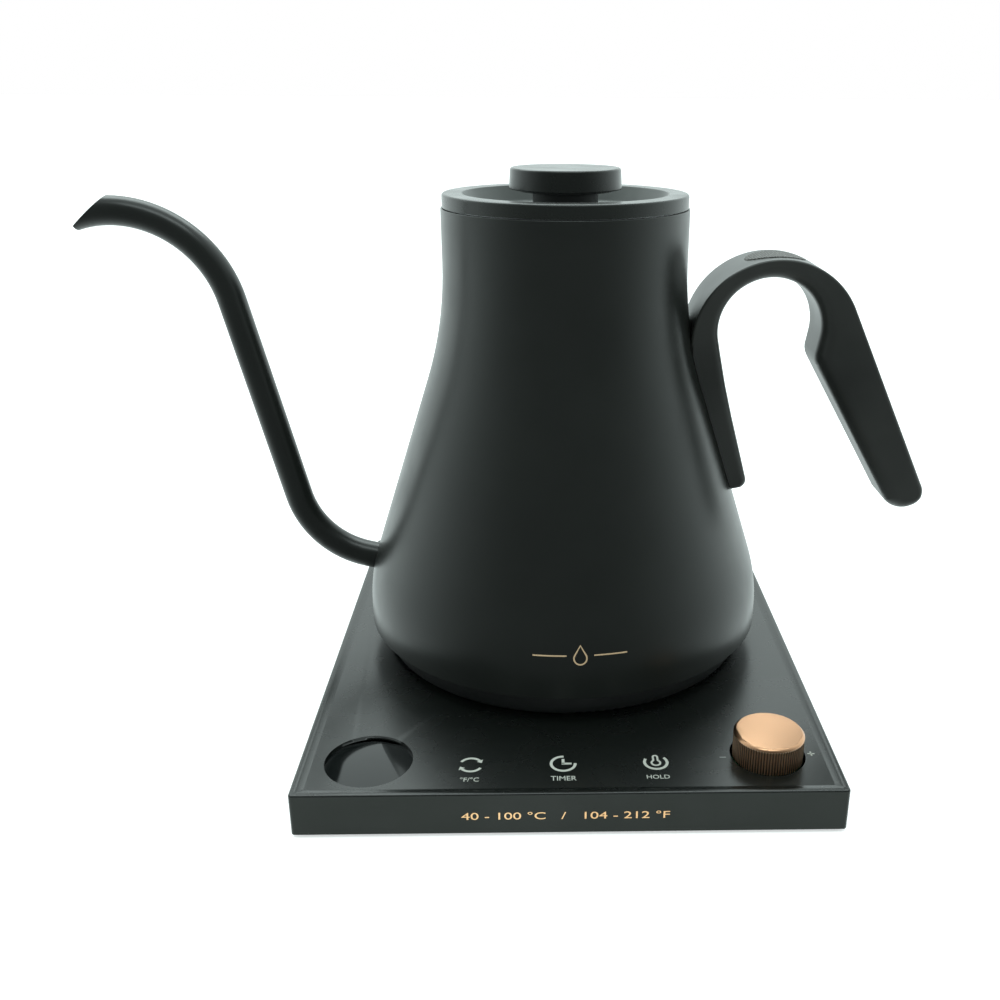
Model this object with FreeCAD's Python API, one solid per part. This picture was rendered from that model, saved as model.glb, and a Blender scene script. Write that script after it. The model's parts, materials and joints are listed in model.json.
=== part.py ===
"""Electric gooseneck kettle on its heating base: one solid per real piece, millimetres, +Z up."""
import FreeCAD, Part
import math
import os

V = FreeCAD.Vector

# ---------------------------------------------------------------- driving dimensions
# Fits and gaps
LOOSE = 0.3            # between pieces that move past each other
SNUG = 0.1             # between pieces that are fixed to each other
RUNNING = 0.05         # radial clearance of a shaft in its bearing

# Base: a flat tray with the controls along its front
BASE_WIDTH = 166.4
BASE_FRONT = 108.6     # from the kettle's axis to the front face
BASE_BACK = 82.4       # from the kettle's axis to the back face
BASE_HEIGHT = 14.0
BASE_CORNER = 1.2
BASE_WALL = 2.0
BASE_TOP_ROUND = 0.6
BASE_LOW_ROUND = 0.4
PANEL_THICKNESS = 2.0
RIM_WIDTH = 3.4
RIM_RISE = 0.8         # how far the rim stands above the panel
FOOT_RISE = 1.0        # how far the feet stand out below the base
FOOT_RADIUS = 7.0
FOOT_SEAT = 0.7
FOOT_INSET = 16.0
FOOT_ROUND = 0.4

# Kettle body
BODY_RADIUS = 72.2
NECK_RADIUS = 41.9
BODY_WALL = 0.8
BODY_LIFT = 9.6        # from the base's rim up to the body's lower edge
BODY_HEIGHT = 147.0    # from the lower edge up to the mouth
CONE_START = 15.1      # from the body's lower edge up to where the cone would begin
NECK_LENGTH = 38.6     # from the mouth down to where the cone would end
NECK_WELD = 55.4       # from the body's lower edge up to the weld between its two drawn walls
MOUTH_LIP = 0.5        # how far the mouth's lip stands in past the wall
MOUTH_LIP_HEIGHT = 1.2
LOW_BEND = 60.0
NECK_BEND = 130.0
CHAMBER_FLOOR = 9.4    # from the body's lower edge up to the floor plate
FLOOR_PLATE = 1.0
SPREADER_INSET = 16.2  # from the body's wall in to the heat spreader's edge
SPREADER_PLATE = 2.0
ELEMENT_INSET = 14.0   # from the spreader's edge in to the middle of the heater's tube
ELEMENT_TUBE = 3.8
ELEMENT_GAP = 24.0     # half the angle left open between the heater's two ends
ELEMENT_LEAD = 1.5
CUTOFF_RADIUS = 7.0
CUTOFF_HEIGHT = 3.0
CUTOFF_TAB = (20.0, 4.0, 0.8)
PROBE_RADIUS = 3.0
PROBE_RISE = 6.0       # how far the probe stands up into the water
PROBE_NUT = 5.5
STUD_COUNT = 3
STUD_START = 30.0

# Underbody and the round electrical connector
UNDERBODY_GAP = 0.4    # between the base's rim and the underbody
UNDERBODY_PLATE = 2.0
UNDERBODY_TAPER = 5.0
UNDERBODY_WALL = 2.0
UNDERBODY_STEP = 1.2       # how far the skirt stands inside the body's edge
UNDERBODY_SPIGOT = 5.0
HUB_RADIUS = 11.5
HUB_HEIGHT = 9.0
HUB_FLANGE = 19.0
HUB_FLANGE_PLATE = 2.0
HUB_ROUND = 1.0
SOCKET_GAP = 0.5
SOCKET_WALL = 4.5
SOCKET_ROOF = 3.0
SOCKET_FLANGE = 22.0
SOCKET_FLANGE_PLATE = 1.5
PIN_RADIUS = 2.2
PIN_ROUND = 1.0
PIN_HOLE_FLOOR = 1.5   # from the tray up to the bottom of the hub's centre hole
RING_SLOT_FLOOR = 2.5  # the same for the ring slot
RING_SPRING = 1.5
CONTACT_SLEEVE = 0.6
CONTACT_GAP = 0.4
RING_CONTACT = 7.0     # middle radius of the ring contact
RING_CONTACT_WALL = 0.8
RING_SLOT = 2.2

# Spout: a round tube along one vertical plane
SPOUT_RADIUS = 4.9
SPOUT_WALL = 0.7
SPOUT_ROOT_HEIGHT = 19.4   # from the body's lower edge to the tube's axis at the body
SPOUT_ROOT_INSET = 1.4     # from the body's widest radius in to the wall at the spout
SPOUT_INSIDE = 12.0        # length of axis kept inside the body before trimming
SPOUT_ROOT_TILT = 13.0
SPOUT_LOW_BEND = 32.0
SPOUT_RISE_TILT = 76.6
SPOUT_RISE = 73.6
SPOUT_TOP_BEND = 39.0
SPOUT_DROOP = 17.8         # how far the tube turns down past its highest point
SPOUT_STRAIGHT = 3.0       # straight run outside the body
TIP_CUT_TILT = 41.3

# Handle: a flat moulding with an open loop
HANDLE_WIDTH = 25.0
HANDLE_EDGE = 2.0
ARCH_RADIUS = 29.4
ARCH_OFFSET = 1.0          # from the neck's surface out to the arch's circle
ARCH_THICKNESS = 6.5
HANDLE_DROP = 15.5         # from the mouth down to the top of the arch
GRIP_TILT = 25.5
GRIP_LENGTH = 77.2
GRIP_END = 13.2
GRIP_TAPER = 4.9           # how much more the loop side of the grip leans than its back
GRIP_HUMP_DROP = 28.4
STOP_LEAN = 10.0           # lean of the short finger stop between the hump and the arch
GRIP_HUMP_ROUND = 7.0
GRIP_END_ROUND = 6.0
STRIP_END = 50.6           # from the body's lower edge to the strip's lower end
STRIP_LOW_THICKNESS = 5.4  # from the body's side to the strip's loop side
STRIP_HIGH_THICKNESS = 6.6
STRIP_HOLLOW = 1.5         # how far the strip's loop side curves in at its middle
STRIP_CURVE = 300.0
STRIP_END_ROUND = 3.0
STRIP_END_DROP = 2.5
BRACKET_WIDTH = 16.0
BRACKET_PLATE = 2.5
BRACKET_LOW = 62.0
BRACKET_HIGH = 96.0
HANDLE_SCREWS = (70.0, 88.0)
HANDLE_SCREW_HEAD = 2.6
HANDLE_SCREW_HEAD_HEIGHT = 1.6
HANDLE_SCREW_SINK = 0.4
COVER_THICKNESS = 2.6
COVER_MARGIN = 3.0
COVER_START = 58.0         # angle on the arch where the cover begins, above +X
PAD_LENGTH = 21.0
PAD_WIDTH = 15.0
PAD_THICKNESS = 1.5
PAD_RISE = 0.25

# Lid
LID_INSET = 0.5            # from the neck's side in to the lid's edge
LID_GAP = 0.3              # parting line between the lid and the mouth
LID_HEIGHT = 4.4
LID_SHEET = 1.6
LID_ROUND = 0.8
LID_RING = 6.8             # width of the flat ring around the dish
DISH_DEPTH = 6.0
DISH_WALL_RUN = 4.0
DISH_TOP_ROUND = 0.5
DISH_FLOOR_ROUND = 3.0
LID_SKIRT_DROP = 13.0
LID_SKIRT_WALL = 0.8
GASKET_HEIGHT = 4.0
GASKET_DROP = 5.0
GASKET_LIP = 1.6
LID_POST_RADIUS = 4.0
STEM_RADIUS = 11.0
STEM_FOOT = 0.8            # how far the stem's foot stands out
STEM_FOOT_RISE = 1.2
SHOULDER_INSET = 3.0       # from the knob's side in to the shoulder under it
SHOULDER_HEIGHT = 0.6
KNOB_RADIUS = 18.9
KNOB_HEIGHT = 6.9
KNOB_RISE = 1.2            # between the lid's top and the knob's underside
KNOB_FLARE = 0.4
KNOB_ROUND = 0.9
KNOB_SCREW_DEPTH = 2.0     # metal left above the knob's screw hole
VENT_RADIUS = 1.6
VENT_CIRCLE = 0.6          # the vents' circle as a share of the cup's radius
VENT_COUNT = 6

# Controls
DISPLAY_FROM_CORNER = (21.1, 18.6)     # from the left side and from the front
DISPLAY_RADIUS = 13.5
LENS_THICKNESS = 1.2
LENS_LEDGE = 1.2
LENS_ROUND = 0.3
MODULE_MARGIN = 0.5
MODULE_WINDOW = 0.6
TOUCH_COUNT = 3
TOUCH_PITCH = 28.5
TOUCH_MIDDLE = -1.9
TOUCH_FROM_FRONT = 16.1
TOUCH_RADIUS = 3.6
TOUCH_WIRE = 0.6
DIAL_FROM_CORNER = (21.0, 20.4)        # from the right side and from the front
DIAL_RADIUS = 11.0
DIAL_RISE = 7.7            # above the base's rim
DIAL_WELL = 0.8
DIAL_TRAVEL = 0.8
DIAL_CHAMFER = 0.9
DIAL_SHAFT = 3.0
DIAL_FLAT = 2.25       # from the axis to the shaft's flat
DIAL_GRIP_WALL = 2.4
DIAL_PLAIN_BAND = 0.5  # smooth band between the grooves and the chamfer
KNURL_COUNT = 80
KNURL_DEPTH = 0.3
KNURL_RADIUS = 0.5
ROTOR_RADIUS = 4.5
BOARD_THICKNESS = 1.6
BOARD_RISE = 1.0
ENCODER_SIZE = 12.5
ENCODER_HEIGHT = 4.8
ENCODER_FLOOR = 1.0
ENCODER_ROUND = 0.8
BOARD_SIDE_GAP = 7.2   # from the base's side to the control board
CONTROL_BOARD_DEPTH = 26.0
POWER_BOARD_SIZE = (110.0, 40.0)
POWER_BOARD_FROM_BACK = 32.4
BOARD_ROUND = 2.0
POST_RADIUS = 2.4
POST_INSET = 5.0
PART_ROUND = 0.6
TRIAC = (10.0, 16.0, 4.4)
CAPACITOR = (18.0, 8.0, 5.5)
TERMINAL = (16.0, 8.0, 5.6)
WIRE_HOLE = 1.4
CORD_BORE = 3.2
CORD_SLEEVE = 0.8          # rubber around the cord inside the back wall
CORD_LIP = 0.3             # how far the inner lip stands out past the sleeve
CORD_FLANGE = 1.3          # the same for the outer flange
CORD_LIP_LENGTH = 2.5
CORD_FLANGE_LENGTH = 1.4
CORD_NOSE = 4.0            # how far the gland stands out behind the base
CORD_PLACE = 30.0

# Screws
SCREW_RADIUS = 1.5
SCREW_HEAD = 3.0
SCREW_HEAD_HEIGHT = 1.8
FLAT_HEAD_HEIGHT = 0.8     # screws whose heads are sunk in a thin cover
SCREW_SINK = 0.1           # how far those heads lie below the cover's face
BOSS_RADIUS = 3.6
BOSS_INSET = 9.1           # from the base's side in to a boss's centre
BOSS_FROM_FOOT = 20.0      # from a foot's centre to the boss, along the side

# ---------------------------------------------------------------- derived levels
BASE_BOTTOM = FOOT_RISE
BASE_TOP = BASE_BOTTOM + BASE_HEIGHT
PANEL_TOP = BASE_TOP - RIM_RISE
PANEL_UNDER = PANEL_TOP - PANEL_THICKNESS
TRAY_TOP = BASE_BOTTOM + BASE_WALL
SEAM = BASE_TOP + BODY_LIFT
MOUTH = SEAM + BODY_HEIGHT
FLOOR_UNDER = SEAM + CHAMBER_FLOOR
FLOOR_TOP = FLOOR_UNDER + FLOOR_PLATE
SPREADER_UNDER = FLOOR_UNDER - SPREADER_PLATE
UNDERBODY_BOTTOM = BASE_TOP + UNDERBODY_GAP
UNDERBODY_TOP = UNDERBODY_BOTTOM + UNDERBODY_PLATE
SKIRT_LOW = BODY_RADIUS - UNDERBODY_STEP - UNDERBODY_TAPER
UNDERBODY_SCREW_PLACE = SKIRT_LOW - UNDERBODY_WALL - BOSS_RADIUS - 1.0
SPREADER_RADIUS = BODY_RADIUS - SPREADER_INSET
ELEMENT_RING = SPREADER_RADIUS - ELEMENT_INSET
PROBE_PLACE = SPREADER_RADIUS + 1.0
CONE_RISE = BODY_HEIGHT - CONE_START - NECK_LENGTH
CONE_LEAN = math.atan((BODY_RADIUS - NECK_RADIUS) / CONE_RISE)
WELD_LEVEL = SEAM + NECK_WELD
HUB_TOP = PANEL_TOP + HUB_HEIGHT
SOCKET_ROOF_UNDER = HUB_TOP + LOOSE
SOCKET_TOP = SOCKET_ROOF_UNDER + SOCKET_ROOF
SOCKET_INNER = HUB_RADIUS + SOCKET_GAP
SOCKET_OUTER = SOCKET_INNER + SOCKET_WALL
MOUTH_RADIUS = NECK_RADIUS - BODY_WALL - MOUTH_LIP
SKIRT_RADIUS = MOUTH_RADIUS - LOOSE
LID_RADIUS = NECK_RADIUS - LID_INSET
DISH_RADIUS = LID_RADIUS - LID_RING
LID_BOTTOM = MOUTH + LID_GAP
LID_TOP = LID_BOTTOM + LID_HEIGHT
DISH_FLOOR = LID_TOP - DISH_DEPTH
DISH_UNDER = DISH_FLOOR - LID_SHEET
KNOB_BOTTOM = LID_TOP + KNOB_RISE
KNOB_TOP = KNOB_BOTTOM + KNOB_HEIGHT
BOARD_UNDER = TRAY_TOP + BOARD_RISE
BOARD_TOP = BOARD_UNDER + BOARD_THICKNESS
DIAL_TOP = BASE_TOP + DIAL_RISE
DIAL_BOTTOM = PANEL_TOP - DIAL_WELL
HANDLE_APEX = MOUTH - HANDLE_DROP
ARCH_LEVEL = HANDLE_APEX - ARCH_RADIUS
ARCH_CENTRE = NECK_RADIUS + ARCH_OFFSET + ARCH_RADIUS
ARCH_UNDER = HANDLE_APEX - ARCH_THICKNESS
STRIP_LOW = SEAM + STRIP_END
STRIP_FOOT = BODY_RADIUS - (STRIP_END - CONE_START) * math.tan(CONE_LEAN) + STRIP_LOW_THICKNESS
STRIP_HEAD = NECK_RADIUS + STRIP_HIGH_THICKNESS
STRIP_MIDDLE = (ARCH_UNDER + STRIP_LOW) / 2
DISPLAY_PLACE = (DISPLAY_FROM_CORNER[0] - BASE_WIDTH / 2, DISPLAY_FROM_CORNER[1] - BASE_FRONT)
DIAL_PLACE = (BASE_WIDTH / 2 - DIAL_FROM_CORNER[0], DIAL_FROM_CORNER[1] - BASE_FRONT)
CONTROL_Y = DISPLAY_PLACE[1]
CONTROL_BOARD_WIDTH = BASE_WIDTH - 2 * BOARD_SIDE_GAP
POWER_BOARD_Y = BASE_BACK - POWER_BOARD_FROM_BACK
PIN_HOLE_LOW = TRAY_TOP + PIN_HOLE_FLOOR
RING_SLOT_LOW = TRAY_TOP + RING_SLOT_FLOOR
RING_SPRING_TOP = RING_SLOT_LOW + RING_SPRING
CORD_LEVEL = (TRAY_TOP + PANEL_UNDER) / 2


# ---------------------------------------------------------------- helpers
def polar(length, degrees):
    """Point of the X-Z plane at a length and an angle above +X."""
    return V(length * math.cos(math.radians(degrees)), 0, length * math.sin(math.radians(degrees)))


def rounded_wire(corners):
    """Closed wire in the X-Z plane through (x, z, radius) corners, each rounded by a tangent arc."""
    points = [V(x, 0, z) for x, z, _ in corners]
    edges = []
    previous_end = None
    first_start = None
    for i, (_, _, radius) in enumerate(corners):
        here = points[i]
        if radius > 0:
            back = (points[i - 1] - here).normalize()
            ahead = (points[(i + 1) % len(points)] - here).normalize()
            half = back.getAngle(ahead) / 2
            reach = radius / math.tan(half)
            start = here + back * reach
            end = here + ahead * reach
            middle_way = (back + ahead).normalize()
            middle = here + middle_way * (radius / math.sin(half) - radius)
            arc = Part.Arc(start, middle, end).toShape()
        else:
            start = here
            end = here
            arc = None
        if previous_end is not None and start.distanceToPoint(previous_end) > 1e-6:
            edges.append(Part.LineSegment(previous_end, start).toShape())
        if arc is not None:
            edges.append(arc)
        if first_start is None:
            first_start = start
        previous_end = end
    if previous_end.distanceToPoint(first_start) > 1e-6:
        edges.append(Part.LineSegment(previous_end, first_start).toShape())
    return Part.Wire(Part.__sortEdges__(edges))


def corners_of(points):
    """Give sharp (x, z) points a radius of 0, and leave rounded ones as they are."""
    return [p if len(p) == 3 else (p[0], p[1], 0) for p in points]


def turned(points):
    """Solid of revolution about the Z axis of a closed outline of (radius, z[, corner radius])."""
    face = Part.Face(rounded_wire(corners_of(points)))
    return face.revolve(V(0, 0, 0), V(0, 0, 1), 360)


def plate_xz(points, width):
    """Prism of an X-Z outline, centred on Y = 0."""
    face = Part.Face(rounded_wire(corners_of(points)))
    face.translate(V(0, -width / 2, 0))
    return face.extrude(V(0, width, 0))


def disc(radius, low, high, place=(0, 0)):
    return Part.makeCylinder(radius, high - low, V(place[0], place[1], low))


def tube(outer, inner, low, high, place=(0, 0)):
    return disc(outer, low, high, place).cut(disc(inner, low - 1, high + 1, place))


def block(size_x, size_y, low, high, place=(0, 0)):
    corner = V(place[0] - size_x / 2, place[1] - size_y / 2, low)
    return Part.makeBox(size_x, size_y, high - low, corner)


def rounded_block(size_x, size_y, low, high, place, radius):
    """Upright block whose four vertical edges are rounded."""
    solid = block(size_x, size_y, low, high, place)
    upright = [e for e in solid.Edges if abs(e.tangentAt(e.FirstParameter).z) > 0.9]
    return solid.makeFillet(radius, upright)


def rounded_top(solid, radius):
    """Round the edges at the top of a solid."""
    high = solid.BoundBox.ZMax
    return solid.makeFillet(radius, [e for e in solid.Edges if e.BoundBox.ZMin > high - 0.01])


def rounded_bottom(solid, radius):
    """Round the edges at the bottom of a solid."""
    low = solid.BoundBox.ZMin
    return solid.makeFillet(radius, [e for e in solid.Edges if e.BoundBox.ZMax < low + 0.01])


def base_block(inset, low, high):
    """The base's outline, taken in by inset on every side."""
    middle = (0, (BASE_BACK - BASE_FRONT) / 2)
    width = BASE_WIDTH - 2 * inset
    depth = BASE_FRONT + BASE_BACK - 2 * inset
    return rounded_block(width, depth, low, high, middle, max(BASE_CORNER - inset, 0.8))


def screw(head_low, tip, place, head_radius=SCREW_HEAD, head_height=SCREW_HEAD_HEIGHT):
    """Upward screw: a slotted pan head that starts at head_low and a shank that ends at tip."""
    head = disc(head_radius, head_low, head_low + head_height, place)
    slot = block(head_radius * 2 + 1, head_radius / 4, head_low - 1, head_low + head_height / 3, place)
    shank = disc(SCREW_RADIUS, head_low + head_height / 2, tip, place)
    return head.cut(slot).fuse(shank).removeSplitter()


def around(count, radius, start=0.0):
    """Evenly spaced (x, y) places on a circle about the axis."""
    step = 2 * math.pi / count
    angles = [math.radians(start) + i * step for i in range(count)]
    return [(radius * math.cos(a), radius * math.sin(a)) for a in angles]


def group(shapes):
    return Part.makeCompound(shapes)


def largest(shape):
    """The biggest piece of a shape that a cut has split."""
    return max(shape.Solids, key=lambda s: s.Volume)


# ---------------------------------------------------------------- base
def base_screw_places():
    side = BASE_WIDTH / 2 - BOSS_INSET
    inward = FOOT_INSET + BOSS_FROM_FOOT
    return [(s * side, y) for s in (-1, 1) for y in (-BASE_FRONT + inward, BASE_BACK - inward)]


def foot_places():
    side = BASE_WIDTH / 2 - FOOT_INSET
    return [(s * side, y) for s in (-1, 1) for y in (-BASE_FRONT + FOOT_INSET, BASE_BACK - FOOT_INSET)]


def cord_solid(radius, front, back):
    """Rod along the cord's line through the back wall."""
    return Part.makeCylinder(radius, back - front, V(CORD_PLACE, front, CORD_LEVEL), V(0, 1, 0))


def base_top_cover():
    """Panel, rim and side walls in one painted shell, open below."""
    shell = base_block(0, BASE_BOTTOM, BASE_TOP)
    shell = rounded_bottom(rounded_top(shell, BASE_TOP_ROUND), BASE_LOW_ROUND)
    shell = shell.cut(base_block(BASE_WALL, BASE_BOTTOM - 1, PANEL_UNDER))
    recess = base_block(RIM_WIDTH, PANEL_TOP, BASE_TOP + 1)
    shell = shell.cut(rounded_bottom(recess, RIM_RISE * 0.7))
    shell = shell.cut(disc(DISPLAY_RADIUS + SNUG, PANEL_UNDER - 1, PANEL_TOP + 1, DISPLAY_PLACE))
    ledge = tube(DISPLAY_RADIUS + SNUG + 1, DISPLAY_RADIUS - LENS_LEDGE, PANEL_UNDER,
                 PANEL_TOP - LENS_THICKNESS, DISPLAY_PLACE)
    shell = shell.fuse(ledge)
    shell = shell.cut(disc(DIAL_RADIUS + DIAL_WELL, PANEL_UNDER - 1, PANEL_TOP + 1, DIAL_PLACE))
    shell = shell.cut(disc(HUB_RADIUS + SNUG, PANEL_UNDER - 1, PANEL_TOP + 1))
    shell = shell.cut(cord_solid(CORD_BORE + CORD_SLEEVE + SNUG, BASE_BACK - 2 * BASE_WALL, BASE_BACK + 1))
    for place in base_screw_places():
        boss = disc(BOSS_RADIUS, TRAY_TOP + SNUG, PANEL_UNDER + 0.5, place)
        shell = shell.fuse(boss).cut(disc(SCREW_RADIUS, TRAY_TOP, PANEL_UNDER - 1, place))
    return shell.removeSplitter()


def base_bottom_cover():
    """Flat tray that closes the base from below, with the posts that carry both boards."""
    tray = base_block(BASE_WALL + SNUG, BASE_BOTTOM, TRAY_TOP)
    for place in foot_places():
        tray = tray.cut(disc(FOOT_RADIUS + SNUG, BASE_BOTTOM - 1, BASE_BOTTOM + FOOT_SEAT, place))
    for place in base_screw_places():
        pocket_top = BASE_BOTTOM + SCREW_SINK + FLAT_HEAD_HEIGHT
        tray = tray.cut(disc(SCREW_HEAD + SNUG, BASE_BOTTOM - 1, pocket_top, place))
        tray = tray.cut(disc(SCREW_RADIUS + SNUG, BASE_BOTTOM, TRAY_TOP + 1, place))
    for place in board_posts():
        tray = tray.fuse(disc(POST_RADIUS, TRAY_TOP - 0.5, BOARD_UNDER, place))
    return tray.removeSplitter()


def post_places(width, depth, middle_y):
    """Places of four posts near the corners of a board."""
    x = width / 2 - POST_INSET
    y = depth / 2 - POST_INSET
    return [(s * x, middle_y + t * y) for s in (-1, 1) for t in (-1, 1)]


def board_posts():
    front = post_places(CONTROL_BOARD_WIDTH, CONTROL_BOARD_DEPTH, CONTROL_Y)
    return front + post_places(*POWER_BOARD_SIZE, POWER_BOARD_Y)


def rubber_feet():
    top = BASE_BOTTOM + FOOT_SEAT
    return group([rounded_bottom(disc(FOOT_RADIUS, 0, top, place), FOOT_ROUND) for place in foot_places()])


def base_screws():
    head_low = BASE_BOTTOM + SCREW_SINK
    tip = PANEL_UNDER - 2
    return group([screw(head_low, tip, p, head_height=FLAT_HEAD_HEIGHT) for p in base_screw_places()])


def display_lens():
    return rounded_top(disc(DISPLAY_RADIUS, PANEL_TOP - LENS_THICKNESS, PANEL_TOP, DISPLAY_PLACE), LENS_ROUND)


def display_module():
    """Round carrier behind the lens, with a shallow window for the digits."""
    radius = DISPLAY_RADIUS - LENS_LEDGE - MODULE_MARGIN
    top = PANEL_TOP - LENS_THICKNESS - SNUG
    window = block(radius * 1.3, radius * 0.8, top - MODULE_WINDOW, top + 1, DISPLAY_PLACE)
    return disc(radius, BOARD_TOP, top, DISPLAY_PLACE).cut(window)


def control_board():
    return rounded_block(CONTROL_BOARD_WIDTH, CONTROL_BOARD_DEPTH, BOARD_UNDER, BOARD_TOP, (0, CONTROL_Y),
                         BOARD_ROUND)


def touch_springs():
    """One contact coil under each touch mark, from the board to the panel."""
    coils = []
    for i in range(TOUCH_COUNT):
        x = TOUCH_MIDDLE + (i - (TOUCH_COUNT - 1) / 2) * TOUCH_PITCH
        place = (x, TOUCH_FROM_FRONT - BASE_FRONT)
        coils.append(tube(TOUCH_RADIUS, TOUCH_RADIUS - TOUCH_WIRE, BOARD_TOP, PANEL_UNDER, place))
    return group(coils)


def encoder_body():
    top = BOARD_TOP + ENCODER_HEIGHT
    body = rounded_block(ENCODER_SIZE, ENCODER_SIZE, BOARD_TOP, top, DIAL_PLACE, ENCODER_ROUND)
    return body.cut(disc(ROTOR_RADIUS + RUNNING, BOARD_TOP + ENCODER_FLOOR, top + 1, DIAL_PLACE))


def flatted_rod(radius, flat, low, high):
    """Round rod on the dial's axis with one flat, at a distance from the axis."""
    rod = disc(radius, low, high, DIAL_PLACE)
    beside = (DIAL_PLACE[0] + flat + radius / 2, DIAL_PLACE[1])
    past_flat = block(radius, 4 * radius, low - 1, high + 1, beside)
    return rod.cut(past_flat)


def encoder_rotor():
    """Sleeve that turns in the encoder; the shaft slides through its flatted hole."""
    low = BOARD_TOP + ENCODER_FLOOR + LOOSE
    high = BOARD_TOP + ENCODER_HEIGHT
    hole = flatted_rod(DIAL_SHAFT + RUNNING, DIAL_FLAT + RUNNING, low - 1, high + 1)
    return disc(ROTOR_RADIUS, low, high, DIAL_PLACE).cut(hole)


def encoder_shaft():
    low = BOARD_TOP + ENCODER_FLOOR + LOOSE + DIAL_TRAVEL
    return flatted_rod(DIAL_SHAFT, DIAL_FLAT, low, DIAL_TOP - DIAL_GRIP_WALL - SNUG)


def dial_knob():
    """Knurled cap with a hollow underside and a hub that grips the shaft."""
    cap = disc(DIAL_RADIUS, DIAL_BOTTOM, DIAL_TOP, DIAL_PLACE)
    cap = cap.makeChamfer(DIAL_CHAMFER, [e for e in cap.Edges if e.BoundBox.ZMin > DIAL_TOP - 0.01])
    groove_top = DIAL_TOP - DIAL_CHAMFER - DIAL_PLAIN_BAND
    grooves = []
    for x, y in around(KNURL_COUNT, DIAL_RADIUS - KNURL_DEPTH + KNURL_RADIUS):
        place = (x + DIAL_PLACE[0], y + DIAL_PLACE[1])
        grooves.append(disc(KNURL_RADIUS, DIAL_BOTTOM - 1, groove_top, place))
    inside = DIAL_RADIUS - DIAL_GRIP_WALL
    roof = DIAL_TOP - DIAL_GRIP_WALL
    hollow = tube(inside, DIAL_SHAFT + DIAL_GRIP_WALL, DIAL_BOTTOM - 1, roof, DIAL_PLACE)
    bore = disc(DIAL_SHAFT + RUNNING, DIAL_BOTTOM - 1, roof, DIAL_PLACE)
    under_hub = disc(inside, DIAL_BOTTOM - 1, PANEL_TOP + LOOSE, DIAL_PLACE)
    return cap.cut(grooves).cut([hollow, bore, under_hub])


def power_board():
    return rounded_block(*POWER_BOARD_SIZE, BOARD_UNDER, BOARD_TOP, (0, POWER_BOARD_Y), BOARD_ROUND)


def on_power_board(size, place):
    length, width, height = size
    return rounded_block(length, width, BOARD_TOP, BOARD_TOP + height, place, PART_ROUND)


def power_triac():
    return on_power_board(TRIAC, (-30, POWER_BOARD_Y))


def filter_capacitor():
    return on_power_board(CAPACITOR, (0, POWER_BOARD_Y + 8))


def terminal_block():
    """Block for the cord's three wires, each in a hole that faces the back."""
    middle = POWER_BOARD_Y + 12
    solid = on_power_board(TERMINAL, (CORD_PLACE, middle))
    level = BOARD_TOP + TERMINAL[2] / 2
    for shift in (-1, 0, 1):
        start = V(CORD_PLACE + shift * TERMINAL[0] / 3, middle, level)
        solid = solid.cut(Part.makeCylinder(WIRE_HOLE, TERMINAL[1], start, V(0, 1, 0)))
    return solid


def cord_gland():
    """Rubber gland in the back wall: inner lip, sleeve, flange and nose round one bore."""
    inside = BASE_BACK - BASE_WALL - SNUG
    sleeve = CORD_BORE + CORD_SLEEVE
    front = inside - CORD_LIP_LENGTH
    lip = cord_solid(sleeve + CORD_LIP, front, inside)
    neck = cord_solid(sleeve, front, BASE_BACK + CORD_NOSE)
    flange = cord_solid(sleeve + CORD_FLANGE, BASE_BACK + SNUG, BASE_BACK + SNUG + CORD_FLANGE_LENGTH)
    solid = neck.fuse([lip, flange]).removeSplitter()
    return solid.cut(cord_solid(CORD_BORE, front - 1, BASE_BACK + CORD_NOSE + 1))


def base_connector():
    """Round male hub: a centre hole and a ring slot for the kettle's contacts."""
    flange = disc(HUB_FLANGE, PANEL_UNDER - SNUG - HUB_FLANGE_PLATE, PANEL_UNDER - SNUG)
    hub = rounded_top(disc(HUB_RADIUS, TRAY_TOP + SNUG, HUB_TOP), HUB_ROUND).fuse(flange)
    pin_room = PIN_RADIUS + CONTACT_GAP + CONTACT_SLEEVE + SNUG
    hub = hub.cut(disc(pin_room, PIN_HOLE_LOW, HUB_TOP + 1))
    half_slot = RING_SLOT / 2
    slot = tube(RING_CONTACT + half_slot, RING_CONTACT - half_slot, RING_SLOT_LOW, HUB_TOP + 1)
    return hub.cut(slot).removeSplitter()


def base_contacts():
    """Brass sleeve round the centre hole, and the spring ring at the bottom of the slot."""
    inner = PIN_RADIUS + CONTACT_GAP
    sleeve = tube(inner + CONTACT_SLEEVE, inner, PIN_HOLE_LOW + SNUG, HUB_TOP - HUB_ROUND)
    half = RING_SLOT / 2 - SNUG
    ring = tube(RING_CONTACT + half, RING_CONTACT - half, RING_SLOT_LOW + SNUG, RING_SPRING_TOP)
    return group([sleeve, ring])


# ---------------------------------------------------------------- kettle socket
def kettle_socket():
    """Cup that drops over the base's hub, with a flange held under the kettle."""
    cup = disc(SOCKET_OUTER, UNDERBODY_BOTTOM, SOCKET_TOP)
    cup = cup.cut(disc(SOCKET_INNER, UNDERBODY_BOTTOM - 1, SOCKET_ROOF_UNDER))
    flange_low = UNDERBODY_TOP + LOOSE
    cup = cup.fuse(tube(SOCKET_FLANGE, SOCKET_INNER, flange_low, flange_low + SOCKET_FLANGE_PLATE))
    cup = cup.cut(disc(PIN_RADIUS, SOCKET_ROOF_UNDER - 1, SOCKET_TOP + 1))
    half = RING_CONTACT_WALL / 2
    cup = cup.cut(tube(RING_CONTACT + half, RING_CONTACT - half, SOCKET_ROOF_UNDER - 1, SOCKET_TOP - 1))
    return cup.removeSplitter()


def socket_pin():
    return rounded_bottom(disc(PIN_RADIUS, PIN_HOLE_LOW + 2.0, SOCKET_TOP), PIN_ROUND)


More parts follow.
